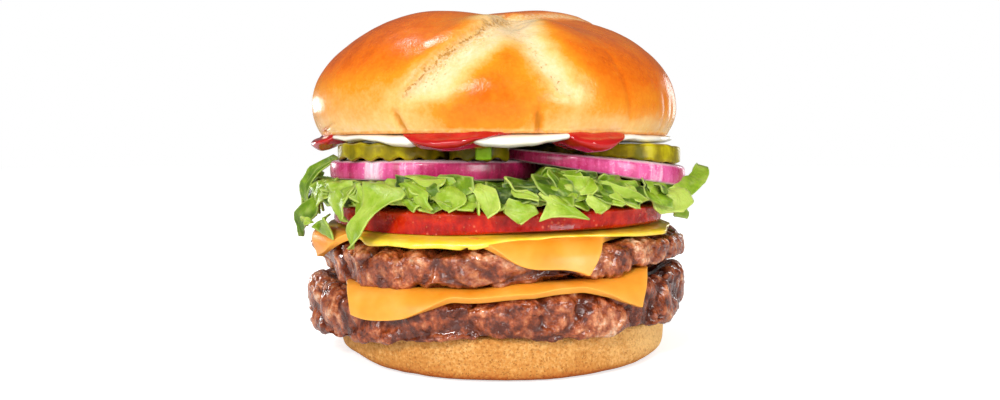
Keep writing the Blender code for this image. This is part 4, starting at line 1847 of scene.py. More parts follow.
FRONT_LEAVES = (
    Leaf(0.35,
         ((-71, 51.8, 43.5), (-76, 48.6, 49), (-79, 44.2, 52), (-80, 41.5, 52.5), (-81, 38.5, 51.5)),
         ((-69, 50.5, 44.5), (-71.5, 46.9, 48), (-73.5, 44.4, 50), (-75, 41.7, 51), (-76.5, 39.3, 51))),
    Leaf(0.45,
         ((-64.5, 46, 46.5), (-67, 44.4, 48.5), (-70.5, 41.1, 50.5), (-73.5, 38.3, 52.5),
          (-76, 35.8, 54), (-77, 32.2, 53.5), (-77, 30.3, 53)),
         ((-61, 45.4, 47), (-63, 43, 48.5), (-63.5, 39.9, 49), (-64.5, 37.2, 49), (-68, 35, 51),
          (-72, 33.5, 52), (-77, 30.3, 52.5))),
    Leaf(0.9,
         ((-67.5, 35.3, 53), (-66.5, 36.3, 53), (-64, 36.4, 52.5), (-62.5, 35.2, 52)),
         ((-69, 33.7, 52.5), (-66, 33.5, 52), (-63.5, 34.2, 51), (-61.5, 35.2, 50.5))),
    Leaf(0.55,
         ((-56.5, 37.3, 50.5), (-62.5, 35.3, 50.5), (-63.5, 33.7, 51)),
         ((-48.5, 36.7, 51.5), (-48, 34, 52), (-48, 31.7, 52.5))),
    Leaf(0.8,
         ((-59.5, 44.8, 49), (-54, 42.1, 51), (-47, 38.6, 53), (-43.5, 36.2, 53.5), (-40, 36.3, 53.5)),
         ((-43, 45.2, 49), (-40.5, 43.5, 51), (-40, 41.9, 52), (-40.5, 39.9, 53), (-39.5, 37.2, 53.5))),
    Leaf(0.05,
         ((-41.5, 43.8, 50), (-43.5, 41.7, 50.5), (-44, 39.7, 51)),
         ((-40.5, 42.8, 50.5), (-41, 41.8, 50.5), (-43.5, 39.3, 51))),
    Leaf(0.7,
         ((-41, 45.4, 50), (-39, 42.6, 52), (-38.5, 39.9, 53), (-37.5, 37.3, 53.5)),
         ((-37.5, 45.3, 51), (-34.5, 43.1, 53), (-33, 40.2, 54), (-32.5, 37.5, 54))),
    Leaf(0.85,
         ((-37.5, 45.4, 51), (-35, 43.1, 53), (-35, 39.2, 54.5), (-38, 37, 55), (-39.5, 34.9, 55),
          (-37.5, 32.4, 55.5), (-35.5, 30.5, 56)),
         ((-28, 45.5, 50), (-23, 43.8, 51.5), (-22, 42.3, 52.5), (-24.5, 41.6, 53),
          (-28, 39.7, 53.5), (-30.5, 37, 54.5), (-32.5, 33.3, 55.5), (-35, 30.8, 56))),
    Leaf(0.75,
         ((-25, 47.1, 48), (-22, 46, 50.5), (-19, 44.9, 51), (-16, 44.6, 50.5)),
         ((-26, 47.3, 46), (-19.5, 47, 47), (-12.5, 46.8, 48), (-13.5, 45.2, 50))),
    Leaf(0.7,
         ((-28, 45.4, 49.5), (-23, 43.3, 51.5), (-22.5, 42.2, 52), (-19.5, 40.9, 52.5),
          (-16.5, 39.6, 52.5)),
         ((-22.5, 45.7, 50), (-19.5, 44.6, 51.5), (-16.5, 43.6, 52), (-16.5, 41.8, 52.5),
          (-15, 40.2, 52.5))),
    Leaf(0.8,
         ((-13.5, 44.9, 50), (-15, 43.8, 51), (-16, 42.1, 52), (-15, 41, 52.5), (-13, 39.7, 52.5),
          (-11, 39.5, 52.5)),
         ((-10.5, 44.7, 50), (-8, 43.6, 51), (-6.5, 42.5, 51.5), (-6.5, 41.5, 52),
          (-8.5, 40.6, 52), (-11, 39.5, 52.5))),
    Leaf(0.9,
         ((-7, 44.7, 50), (-5.5, 43.1, 51.5), (-4, 40.6, 52), (-2.5, 38.9, 52.5), (-2, 38.3, 52.5)),
         ((-4, 45.7, 49.5), (0.5, 44.4, 50.5), (1, 41.9, 52), (1, 40.1, 52.5), (-2, 38.3, 52.5))),
    Leaf(0.95,
         ((-6.5, 43.1, 50.5), (-5, 41.2, 51), (-4.5, 38.9, 51.5)),
         ((-5, 43.2, 50.5), (-4, 41.5, 51), (-4, 38.8, 51.5))),
    Leaf(0.15,
         ((1.5, 45.6, 47.5), (1, 43.4, 49.5), (2, 41.1, 50)),
         ((6.5, 45.9, 47.5), (6, 43.3, 49.5), (5.5, 41.1, 50))),
    Leaf(0.75,
         ((3, 42.6, 50.5), (1.5, 41.2, 51.5), (1.5, 39.5, 52), (3.5, 38, 52.5), (5.5, 37, 52.5)),
         ((7, 41.6, 50.5), (10, 40.7, 51.5), (10.5, 38.9, 52), (8, 38, 52.5), (5.5, 37, 52.5))),
    Leaf(0.95,
         ((2, 47.2, 48.5), (3.5, 45.8, 50.5), (4.5, 44.4, 51.5), (8, 44.4, 52), (10.5, 43, 52)),
         ((2.5, 47.1, 48), (3.5, 44.3, 49.5), (4.5, 42.8, 50.5), (7, 42.6, 51), (10, 42, 51.5))),
    Leaf(0.85,
         ((12, 44.8, 50), (10, 43.4, 51.5), (12, 41.8, 52), (11, 39.6, 53), (10, 37.5, 53)),
         ((12.5, 44.6, 50), (15, 42.7, 51.5), (19, 40.3, 52), (23, 37.6, 53), (17.5, 38.8, 53))),
    Leaf(0.35,
         ((13.5, 48.6, 46.5), (13, 47.2, 48), (15, 44.8, 49.5), (17, 42.5, 50.5)),
         ((18, 47.9, 46.5), (19.5, 46.6, 48), (19, 44.2, 49.5), (17, 42.4, 50.5))),
    Leaf(0.9,
         ((21.5, 46.6, 48), (23, 45.7, 49.5), (21, 43.6, 50.5), (22, 43.1, 51)),
         ((24.5, 47.9, 47.5), (26.5, 46.4, 49), (25.5, 44.2, 50.5), (24, 43.2, 51))),
    Leaf(0.75,
         ((23.5, 43.3, 50), (22.5, 42, 51.5), (24, 40.3, 52), (25.5, 38.9, 52.5)),
         ((24, 43.4, 50), (26.5, 42, 51), (30.5, 40.5, 52), (25.5, 39, 52.5))),
    Leaf(0.95,
         ((28, 46.3, 48), (29, 43.9, 49.5), (31.5, 41.9, 50), (36.5, 40.3, 50.5), (42, 40.8, 51)),
         ((30, 46.1, 48), (33, 45.3, 49.5), (37, 43.9, 50), (41, 42.8, 50.5), (42.5, 41.8, 51))),
    Leaf(0.5,
         ((37, 45.2, 48), (38, 43.9, 49)),
         ((43, 44.9, 48), (42, 43.1, 49))),
    Leaf(0.9,
         ((46, 43.7, 47.5), (45.5, 41.6, 48.5), (48.5, 39.6, 49.5), (51, 37.8, 51)),
         ((56.5, 43.9, 49), (63, 44, 52.5), (63, 40.3, 53), (57.5, 38, 52.5))),
    Leaf(0.85,
         ((56.5, 43.9, 49), (60.5, 44.8, 51), (67, 46.6, 51.5), (71, 47.2, 52.0), (77.5, 49.6, 54.0)),
         ((57.5, 40.5, 50.5), (63, 40.5, 53), (68.5, 43.9, 54.5), (74.5, 46.5, 54.5), (77.5, 48.5, 54.5))),
)


@dataclass
class Lettuce:
    """Chopped leaves hanging all round the tomato over a dense bed."""

    seed: int = 51
    cuts: int = 14
    thickness: float = 0.42 * MM
    gap: float = 0.45 * MM
    search: float = 5 * MM
    bed_outline: Stops = ((0, 48.0), (70, 46.6), (110, 47.0), (180, 46.8), (250, 47.0), (290, 46.4))

    def _chopped(self) -> list[Leaf]:
        """Seeded pieces for the sides and the back, in an inner layer darkened as painted shade and an outer
        layer.

        Returns:
            The leaves.
        """
        draw = np.random.default_rng(self.seed)
        leaves: list[Leaf] = []
        for layer, (step, low, high) in enumerate(((8.5, 37.5, 45.0), (10.5, 36.2, 45.6))):
            start = 66.0 if layer else -72.0
            stop = 282.0 if layer else 292.0
            middle = start
            while middle < stop:
                inner_front = layer == 0 and (middle < 62.0 or middle > 290.0)
                width = step * draw.uniform(0.7, 1.25)
                top = high + draw.uniform(-1.2, 1.4)
                tip = low + draw.uniform(-1.0, 3.0)
                near = 48.6 + 1.6 * layer
                out = near + draw.uniform(0.6, 3.0)
                side = min(abs(middle - 270.0), abs(middle + 90.0), abs(middle - 90.0))
                if side < 32.0:
                    near, out = near - 2.0, near - 0.6
                if inner_front:
                    near, out, tip = 48.7, 49.8, draw.uniform(39.8, 41.5)
                    width *= 1.25
                skew = draw.uniform(-4.0, 4.0)
                bend = draw.uniform(-2.5, 2.5)
                left = ((middle - 0.5 * width, top, near),
                        (middle - 0.55 * width + bend, 0.5 * (top + tip), 0.5 * (near + out) + 0.8),
                        (middle - 0.30 * width + skew, tip + draw.uniform(0.0, 1.6), out))
                right = ((middle + 0.5 * width, top + draw.uniform(-1.0, 1.0), near),
                         (middle + 0.55 * width + bend, 0.5 * (top + tip) - 0.6,
                          0.5 * (near + out) + 0.8),
                         (middle + 0.25 * width + skew, tip, out))
                # the inner layer is darker than the outer: painted shade under the outer leaves; inner
                # pieces that show in front are lighter
                tone = draw.uniform(0.15, 0.50) if layer == 0 else draw.uniform(0.45, 0.95)
                tone += 0.22 * inner_front
                leaves.append(Leaf(tone, left, right, draw.uniform(-0.6, 1.6)))
                middle += width * draw.uniform(0.62, 0.95)
        for middle in (100.0, 122.0, 151.0, 176.0, 204.0, 236.0, 258.0):
            leaves.append(self._curl(draw, middle))
        return leaves + self._filling(draw) + self._strewn(draw)

    @staticmethod
    def _filling(draw: np.random.Generator) -> list[Leaf]:
        """Crumpled pieces behind the foremost leaves in front.

        Args:
            draw: The random draw to take from.

        Returns:
            The leaves.
        """
        leaves: list[Leaf] = []
        for low, high, near in ((41.6, 46.6, 48.6), (39.6, 44.6, 49.6)):
            middle = -60.0
            while middle < 62.0:
                width = draw.uniform(7.0, 13.0)
                lean = draw.uniform(-5.0, 5.0)
                top = high + draw.uniform(-1.2, 0.9)
                tip = low + draw.uniform(-1.0, 1.2)
                out = near + draw.uniform(0.6, 1.8)
                first = ((middle - 0.5 * width, top, near - 0.5),
                         (middle - 0.62 * width + 0.4 * lean, 0.5 * (top + tip) + 0.5, out),
                         (middle - 0.2 * width + lean, tip + draw.uniform(0.3, 1.6), out + 0.4))
                second = ((middle + 0.5 * width, top - draw.uniform(0.0, 1.4), near - 0.5),
                          (middle + 0.6 * width + 0.4 * lean, 0.5 * (top + tip) - 0.6, out),
                          (middle + 0.3 * width + lean, tip, out + 0.4))
                leaves.append(Leaf(draw.uniform(0.10, 0.80), first, second, draw.uniform(-0.4, 1.0)))
                middle += draw.uniform(5.5, 8.5)
        for middle, width, top, low, near in ((16.0, 6.0, 49.4, 45.8, 45.4), (20.0, 7.0, 48.8, 45.4, 46.6),
                                              (26.0, 8.0, 48.6, 45.0, 46.4), (34.0, 9.0, 47.8, 44.2, 46.8)):
            first = ((middle - 0.5 * width, top, near), (middle - 0.7 * width, low, near + 1.6))
            second = ((middle + 0.5 * width, top - 0.8, near), (middle + 0.4 * width, low - 0.8, near + 2.0))
            leaves.append(Leaf(draw.uniform(0.2, 0.7), first, second, 0.6))
        return leaves

    @staticmethod
    def _strewn(draw: np.random.Generator) -> list[Leaf]:
        """Pieces that lie on the bed where no onion covers it.

        Args:
            draw: The random draw to take from.

        Returns:
            The leaves.
        """
        leaves: list[Leaf] = []
        for start, stop in ((62.0, 150.0), (196.0, 262.0)):
            for near in (26.0, 33.0, 40.0):
                middle = start + draw.uniform(0.0, 8.0)
                while middle < stop:
                    half = draw.uniform(260.0, 380.0) / near
                    low, high = 45.2 + draw.uniform(0.0, 0.5), 46.2 + draw.uniform(0.0, 1.0)
                    skew = draw.uniform(-6.0, 6.0)
                    first, second = (((middle + side, low, near - 4.0),
                                      (middle + side + skew, high, near),
                                      (middle + 0.7 * side, low + 0.3, near + 4.6))
                                     for side in (-half, half))
                    leaves.append(Leaf(draw.uniform(0.4, 0.9), first, second, 0.2))
                    middle += 1.9 * half
        return leaves

    @staticmethod
    def _curl(draw: np.random.Generator, middle: float) -> Leaf:
        """A narrow strip that stands out and curls down.

        Args:
            draw: The random draw to take from.
            middle: Its direction in degrees.

        Returns:
            The leaf.
        """
        width = draw.uniform(4.0, 7.0)
        reach = draw.uniform(2.5, 5.0)
        top = draw.uniform(44.5, 47.5)
        first = ((middle, top, 48.0), (middle + 2.0, top + 0.6, 49.0 + 0.6 * reach),
                 (middle + 4.0, top - 2.5, 50.0 + reach), (middle + 5.0, top - 6.0, 49.5 + reach))
        second = tuple((angle + width, height - 1.2, out - 0.8) for angle, height, out in first)
        return Leaf(draw.uniform(0.4, 0.9), first, second, 0.5)

    def build(self, inside: Sequence[Skin]) -> Skin:
        """Shapes every leaf and keeps its low hanging parts clear of the pieces given.

        Args:
            inside: Pieces to keep clear of.

        Returns:
            The built mesh.
        """
        leaves = [*FRONT_LEAVES, *self._chopped()]
        shape = bmesh.new()
        for _ in leaves:
            bmesh.ops.create_grid(shape, x_segments=self.cuts, y_segments=self.cuts, size=1.0)
        skin = Skin("lettuce_leaves", shape)
        count = len(skin.points) // len(leaves)
        along = 0.5 * (skin.points[:, 0] + 1.0)
        across = 0.5 * (skin.points[:, 1] + 1.0)
        points = np.zeros_like(skin.points)
        tone = np.zeros(len(points))
        vein = np.zeros(len(points))
        for index, leaf in enumerate(leaves):
            part = slice(index * count, (index + 1) * count)
            grain = Grain(self.seed + index)
            points[part] = leaf.surface(along[part], across[part], grain)
            cloud = 0.26 * grain.soft(points[part], 6 * MM) + 0.14 * grain.soft(points[part], 2 * MM)
            tone[part] = 0.92 * leaf.tone - 0.06 + cloud + 0.12 * cos(2.3 * index)
            vein[part] = self._veins(along[part], across[part], points[part], index)
        reach = np.hypot(points[:, 0], points[:, 1])
        hanging = (points[:, 2] < 41 * MM) & (reach < 53 * MM)
        skin.place_clear(points, hanging, inside, self.gap, self.search)
        skin.mark("tone", tone)
        skin.mark("vein", vein)
        return skin

    @staticmethod
    def _veins(along: Array, across: Array, points: Array, index: int) -> Array:
        """Veins that fan out from a rib, and the pale cut edges.

        Args:
            along: Share along the leaf, 0 to 1.
            across: Share across it, 0 to 1.
            points: Places, one row each.
            index: Number of the leaf.

        Returns:
            How pale each place is, 0 to 1.
        """
        size = np.linalg.norm(points.max(axis=0) - points.min(axis=0))
        turn = 1.7 * index
        run = (along - 0.5) * cos(turn) + (across - 0.5) * sin(turn)
        off = (across - 0.5) * cos(turn) - (along - 0.5) * sin(turn)
        rib = 0.5 * bell(size * off, 0.0, 0.4 * MM)
        fan = np.cos(2.0 * pi * size * (run + 0.7 * np.abs(off)) / (3.4 * MM))
        side_veins = 0.2 * ease(0.90, 1.0, fan) * ease(0.0, 0.12, np.abs(off))
        border = np.minimum(np.minimum(along, 1.0 - along), np.minimum(across, 1.0 - across))
        return np.maximum(np.maximum(rib, side_veins), 0.6 * ease(0.04, 0.0, border))

    def dress(self, skin: Skin, material: Material) -> bpy.types.Object:
        """Gives the leaves their thickness.

        Args:
            skin: The built mesh.
            material: The finish.

        Returns:
            The finished piece.
        """
        piece = skin.finish(material, Slot.LETTUCE, "lettuce")
        wall = piece.modifiers.new("thickness", "SOLIDIFY")
        wall.thickness = self.thickness
        wall.offset = 0.0
        return piece

    def bed(self) -> Skin:
        """Dense chopped leaf inside, under the onion, coloured dark as painted shade inside the heap.

        Returns:
            The built mesh.
        """
        grain = Grain(53)
        skin, angle, reach, share = Skin.disc("lettuce_bed", 300, 70, 0.22)
        radius = trace(angle, self.bed_outline) * MM * reach
        x, y = radius * np.sin(angle), -radius * np.cos(angle)
        beside = np.minimum(*(np.hypot(x - middle_x, y - middle_y) - size
                              for middle_x, middle_y, size in (LEFT_ONION, BACK_ONION)))
        free = ease(0.4 * MM, 2.6 * MM, beside) * ease(6 * MM, 12 * MM, x)
        top = BED_TOP + free * (leaning_low(x) - 0.1 * MM - BED_TOP)
        skin.place(np.column_stack((x, y, between(BED_LOW, top, share))))
        nearest, second, tone = grain.cells(skin.points, 6 * MM)
        rim = ease(0.86, 0.97, reach)
        skin.swell(rim * (0.7 * MM * ease(0.0, 0.3, second - nearest) - 0.9 * MM))
        # low tones: the bed is dark green as painted shade inside the heap
        skin.mark("tone", 0.12 + 0.35 * tone)
        skin.mark("vein", 0.0 * tone)
        return skin


# ---------------------------------------------------------------------------------------------
# onion and pickles
# ---------------------------------------------------------------------------------------------

@dataclass
class RoundSlice:
    """A slice or chip between a lower and an upper face, whose heights go by x."""

    node: str
    seed: int
    centre: tuple[float, float]
    radius: float
    low: Callable[[Array], Array]
    high: Callable[[Array], Array]


@dataclass
class OnionSlice(RoundSlice):
    """A round slice of red onion, maybe leaning on its neighbour."""

    pale: tuple[Triple, ...] = ()
    base_tone: float = 0.39
    segments: int = 300
    rings: int = 70
    squareness: float = 0.20
    ring_width: float = 3.1 * MM
    groove: float = 0.28 * MM

    def build(self) -> Skin:
        """Shapes the slice with its rings.

        Returns:
            The built mesh.
        """
        grain = Grain(self.seed)
        skin, angle, reach, share = Skin.disc(self.node + "_slice", self.segments, self.rings,
                                              self.squareness)
        outline = self.radius + 0.35 * MM * grain.soft(rim_key(angle, 30 * MM), 18 * MM)
        outline += 0.35 * MM * (1.0 - share ** 2)
        x = self.centre[0] + outline * reach * np.sin(angle)
        y = self.centre[1] - outline * reach * np.cos(angle)
        skin.place(np.column_stack((x, y, between(self.low(x), self.high(x), share))))
        ring_at = reach * self.radius / self.ring_width + 0.25 * grain.soft(skin.points, 14 * MM)
        groove = ease(0.5, 1.0, np.cos(2.0 * pi * ring_at))
        face = ease(0.965, 0.945, reach)
        fine = 0.06 * MM * grain.layered(skin.points, 3 * MM, 3)
        skin.swell(fine - self.groove * groove * face)
        wall = 1.0 - ease(0.985, 0.955, reach)
        tone = self.base_tone + 0.16 * grain.soft(skin.points * (1.0, 1.0, 0.1), 8 * MM)
        for direction, width, strength in self.pale:
            tone = tone + strength * around(angle, direction, width)
        line = ease(0.66, 0.90, np.abs(share)) * ease(0.93, 0.97, reach)
        skin.mark("wall", wall)
        skin.mark("tone", tone)
        skin.mark("line", 0.75 * line)
        skin.mark("ring", 0.8 * groove)
        return skin


@dataclass
class PickleChip(RoundSlice):
    """A crinkle-cut chip."""

    ridge: float = 0.5 * MM
    pitch: float = 4.6 * MM
    tone: float = 0.45
    # strength of darker patches painted as shade
    patches: float = 0.0
    segments: int = 240
    rings: int = 70
    squareness: float = 0.22

    def build(self) -> Skin:
        """Shapes the chip with its ridges.

        Returns:
            The built mesh.
        """
        grain = Grain(self.seed)
        skin, angle, reach, share = Skin.disc(self.node + "_chip", self.segments, self.rings,
                                              self.squareness)
        x = self.centre[0] + self.radius * reach * np.sin(angle)
        y = self.centre[1] - self.radius * reach * np.cos(angle)
        wave = self.ridge * np.cos(2.0 * pi * x / self.pitch)
        low = self.low(x) + 0.5 * self.ridge + wave
        high = self.high(x) - 0.4 * self.ridge + 0.4 * wave
        skin.place(np.column_stack((x, y, between(low, high, share))))
        skin.swell(0.16 * MM * grain.layered(skin.points, 5 * MM, 3))
        wall = ease(0.975, 0.99, reach) * ease(1.0, 0.8, np.abs(share))
        nearest, _, own = grain.cells(skin.points * (1.0, 1.0, 0.3), 2.6 * MM)
        seed_zone = ease(0.30, 0.40, reach) * ease(0.72, 0.60, reach)
        skin.mark("wall", 0.5 * wall)
        # darker patches are painted shade, and the ridge crests are lighter as painted light along the
        # crinkles
        shadow = self.patches * ease(0.0, 0.35, grain.soft(skin.points * (1.0, 1.0, 0.15), 5 * MM))
        tone = self.tone + 0.35 * (own - 0.5) + 0.2 * np.cos(2.0 * pi * x / self.pitch)
        skin.mark("tone", tone - shadow)
        skin.mark("seed", 0.8 * seed_zone * ease(0.30, 0.2, nearest))
        return skin


# ---------------------------------------------------------------------------------------------
# sauces
# ---------------------------------------------------------------------------------------------

@dataclass
class Mayonnaise:
    """A spread under the crown with soft hanging lips and bays for the ketchup."""

    segments: int = 420
    rings: int = 50
    squareness: float = 0.62
    radius: float = 47.1 * MM
    bay_depth: float = 17.5 * MM
    # middle and half width of the bays, in degrees
    bays: Stops = ((-70.0, 10.0), (-16.0, 8.5), (28.5, 7.5), (158.0, 12.0))
    # direction, and height in mm that the lips hang down to
    lips: Stops = ((-80, 54.8), (-58, 55.0), (-52, 54.2), (-45, 54.7), (-38, 54.1), (-31, 52.8),
                   (-26, 52.6), (-22, 53.4), (-8, 53.8), (-3, 52.7), (3, 52.4), (10, 52.9),
                   (16, 54.0), (21, 54.8), (26, 53.4), (38, 54.4), (44, 54.8), (52, 54.0),
                   (64, 54.2), (74, 54.6), (100, 54.2), (140, 53.8),
                   (180, 54.0), (220, 53.6), (250, 54.2))

    def build(self, below: Sequence[Skin]) -> Skin:
        """Shapes the spread and drapes its lips over what lies below.

        Args:
            below: The onions and pickles.

        Returns:
            The built mesh.
        """
        block = Block.of("mayonnaise")
        grain = Grain(61)
        skin, angle, reach, share = Skin.disc("mayonnaise_spread", self.segments, self.rings,
                                              self.squareness)
        ring = rim_key(angle, 46 * MM)
        outline = self.radius + 0.7 * MM * grain.soft(ring, 9 * MM)
        for middle, half in self.bays:
            outline -= self.bay_depth * around(angle, middle, half) ** 0.6
        radius = outline * reach
        lip = ease(41.5 * MM, 45.0 * MM, radius)
        low = block.low + lip * (trace(angle, self.lips) * MM - block.low)
        points = round_points(angle, radius, between(low, block.high + 1.1 * MM, share))
        skin.place_clear(points, lip > 0.02, below, SAUCE_GAP, SEARCH)
        return skin


@dataclass
class KetchupDollop:
    """A blob of ketchup squeezed out from under the crown."""

    node: str
    seed: int
    reach_out: float
    lows: Stops
    deep: float = 8.5 * MM
    segments: int = 120
    rings: int = 80

    def build(self, below: Sequence[Skin]) -> Skin:
        """Shapes the blob; lows holds the height of its hanging edge along the rim.

        Args:
            below: The onions and pickles.

        Returns:
            The built mesh.
        """
        block = Block.of(self.node)
        grain = Grain(self.seed)
        skin = Skin.ball(self.node + "_blob", self.segments, self.rings)
        unit = skin.points
        ends, lows = zip(*self.lows)
        along = np.sign(unit[:, 0]) * np.abs(unit[:, 0]) ** 0.8
        turn = np.radians(0.5 * (ends[0] + ends[-1]) + 0.5 * along * (ends[-1] - ends[0]))
        rounding = np.sqrt(np.maximum(1.0 - along ** 2, 0.0))
        radial = self.deep * np.sign(-unit[:, 1]) * np.abs(unit[:, 1]) ** 0.8
        distance = self.reach_out - self.deep + radial
        high = block.high + 0.25 * MM + 0.85 * MM * ease(48.0 * MM, 46.5 * MM, distance)
        hang = np.interp(np.degrees(turn), ends, lows) * MM
        lip = ease(-0.1 * self.deep, 0.8 * self.deep, radial)
        low = block.low + lip * (hang - block.low)
        low = high - (high - low) * (0.35 + 0.65 * rounding)
        z = between(low, high, unit[:, 2] / np.maximum(rounding, 0.3))
        points = round_points(turn, distance, np.clip(z, low, high))
        points += np.column_stack([0.3 * MM * grain.soft(points + shift, 4 * MM)
                                   for shift in (0.0, 1.0, 2.0)])
        skin.place_clear(points, lip > 0.02, below, SAUCE_GAP, SEARCH)
        return skin


# ---------------------------------------------------------------------------------------------
# studio
# ---------------------------------------------------------------------------------------------

@dataclass(frozen=True)
class Softbox:
    """One rectangular light that points at a height on the axis."""

    name: str
    place: Triple
    aim: float
    size: tuple[float, float]
    power: float

    def hang(self) -> None:
        """Adds it to the scene."""
        data = bpy.data.lights.new(self.name, "AREA")
        data.shape = "RECTANGLE"
        data.size, data.size_y = self.size
        data.energy = self.power
        lamp = bpy.data.objects.new(self.name, data)
        lamp.location = self.place
        direction = Vector((0.0, 0.0, self.aim)) - Vector(self.place)
        lamp.rotation_euler = direction.to_track_quat("-Z", "Y").to_euler()
        bpy.context.scene.collection.objects.link(lamp)


@dataclass
class Studio:
    """Pale floor, white surroundings, soft lights and the camera."""

    eye: Triple = (0.8 * MM, -248 * MM, 52.6 * MM)
    tilt_down: float = 3.05
    lens: float = 32.4
    floor_radius: float = 3.0
    floor_glow: float = 0.66
    world_light: float = 0.44
    world_seen: float = 0.56
    world_shine: float = -0.30
    lights: tuple[Softbox, ...] = (
        Softbox("overhead", (-0.23, 0.13, 0.62), 0.05, (0.07, 0.09), 1.1),
        Softbox("front_top", (-0.18, -0.62, 0.35), 0.05, (0.07, 0.065), 1.9),
        Softbox("front_left", (-0.38, -0.54, 0.22), 0.04, (0.24, 0.24), 1.5),
        Softbox("front_right", (0.44, -0.50, 0.16), 0.04, (0.20, 0.22), 1.8),
        Softbox("rim_left", (-0.35, 0.38, 0.085), 0.06, (0.14, 0.05), 0.28),
        Softbox("rim_right", (0.32, 0.44, 0.115), 0.06, (0.10, 0.16), 0.22),
    )

    def build(self) -> None:
        """Sets up everything that isn't the burger."""
        self._camera()
        self._floor()
        self._surroundings()
        for light in self.lights:
            light.hang()
        scene = bpy.context.scene
        scene.view_settings.view_transform = "Standard"
        scene.view_settings.look = "None"

    def _camera(self) -> None:
        """The camera stands in front, a little above the middle of the burger."""
        data = bpy.data.cameras.new("camera")
        data.lens = self.lens
        data.sensor_width = 36.0
        data.clip_start = 0.005
        camera = bpy.data.objects.new("camera", data)
        camera.location = self.eye
        camera.rotation_euler = (radians(90.0 - self.tilt_down), 0.0, 0.0)
        bpy.context.scene.collection.objects.link(camera)
        bpy.context.scene.camera = camera

    def _floor(self) -> None:
        """A wide pale floor."""
        shape = bmesh.new()
        bmesh.ops.create_circle(shape, cap_ends=True, segments=96, radius=self.floor_radius)
        mesh = bpy.data.meshes.new("floor")
        shape.to_mesh(mesh)
        shape.free()
        floor = bpy.data.objects.new("floor", mesh)
        bpy.context.scene.collection.objects.link(floor)
        shade = Shade("floor")
        shade.set(Base_Color=(0.8, 0.8, 0.8), Roughness=0.9, Specular_IOR_Level=0.0,
                  Emission_Color=(1.0, 1.0, 1.0))
        seen = shade.tree.nodes.new("ShaderNodeLightPath").outputs["Is Camera Ray"]
        shade.wire(shade.span(seen, 0.0, 1.0, 0.0, self.floor_glow),
                   shade.shader.inputs["Emission Strength"])
        mesh.materials.append(shade.material)

    def _surroundings(self) -> None:
        """White all round."""
        world = bpy.data.worlds.new("white")
        world.use_nodes = True
        nodes, links = world.node_tree.nodes, world.node_tree.links
        path = nodes.new("ShaderNodeLightPath")
        total: Socket | None = None
        for kind, value in (("Is Camera Ray", self.world_seen), ("Is Glossy Ray", self.world_shine)):
            share = nodes.new("ShaderNodeMath")
            share.operation = "MULTIPLY_ADD"
            links.new(path.outputs[kind], share.inputs[0])
            share.inputs[1].default_value = value
            share.inputs[2].default_value = self.world_light
            if total is not None:
                links.new(total, share.inputs[2])
            total = share.outputs[0]
        links.new(total, nodes["Background"].inputs["Strength"])
        nodes["Background"].inputs["Color"].default_value = (1.0, 1.0, 1.0, 1.0)
        bpy.context.scene.world = world


# ---------------------------------------------------------------------------------------------
# the whole burger
# ---------------------------------------------------------------------------------------------

def same_height(height: float) -> Callable[[Array], Array]:
    """A level face."""
    return lambda x: np.full(len(x), height)


def leaning_low(x: Array) -> Array:
    """Underside of the onion slice that leans on its neighbour."""
    return 51.2 * MM - 0.160 * x


def leaning_high(x: Array) -> Array:
    """Top of the leaning onion slice, which is cut thicker towards the right."""
    return leaning_low(x) + 2.7 * MM + 0.064 * x


def build_onions(material: Material) -> list[Skin]:
    """Two slices side by side in front, one behind.

    Args:
        material: The finish.

    Returns:
        The built slices.
    """
    low, high = same_height(ONION_LOW), same_height(ONION_HIGH)
    slices = [
        OnionSlice("onion_left", 71, LEFT_ONION[:2], LEFT_ONION[2], low, high,
                   ((-31, 14, 0.55), (-13, 5, 0.35), (-8, 3, 0.3), (40, 40, -0.2))),
        OnionSlice("onion_right", 73, (23.4 * MM, -12 * MM), 25.1 * MM, leaning_low, leaning_high,
                   ((28, 42, 0.30), (-60, 40, -0.12), (75, 14, 0.12))),
        OnionSlice("onion_back", 79, BACK_ONION[:2], BACK_ONION[2], low, high, ((170, 30, 0.3),)),
    ]
    built = [onion.build() for onion in slices]
    for onion, skin in zip(slices, built):
        skin.finish(material, Slot.ONION, onion.node)
    return built


def build_pickles(material: Material) -> list[Skin]:
    """Crinkle-cut chips on the onions.

    Args:
        material: The finish.

    Returns:
        The built chips.
    """
    low, high = same_height(PICKLE_LOW), same_height(PICKLE_HIGH)

    def right_low(x: Array) -> Array:
        """Underside of the chip that lies on the leaning onion slice."""
        return leaning_high(x) - 0.1 * MM

    def right_high(x: Array) -> Array:
        """Its top."""
        return np.minimum(right_low(x) + 4.7 * MM, PICKLE_HIGH - 0.2 * MM)

    chips = [
        PickleChip("pickle_left", 81, (-25.5 * MM, -23 * MM), 14 * MM, low, high),
        PickleChip("pickle_middle", 82, (-4.2 * MM, -31 * MM), 7.2 * MM, low, high, tone=0.05),
        PickleChip("pickle_back_left", 83, (-14 * MM, 18 * MM), 15 * MM, low, high),
        PickleChip("pickle_back_right", 84, (15.2 * MM, 27 * MM), 14 * MM, low, high),
        PickleChip("pickle_right", 85, (32.2 * MM, -18 * MM), 14.3 * MM, right_low, right_high,
                   ridge=0.2 * MM, tone=0.62, patches=0.5),
    ]
    built = [chip.build() for chip in chips]
    for chip, skin in zip(chips, built):
        skin.finish(material, Slot.PICKLE, chip.node)
    build_pickle_end().finish(BrinedPickle("pickle_end", paint(96, 140, 8), paint(126, 172, 14),
                                           paint(158, 200, 40)).make(), Slot.PICKLE)
    return built


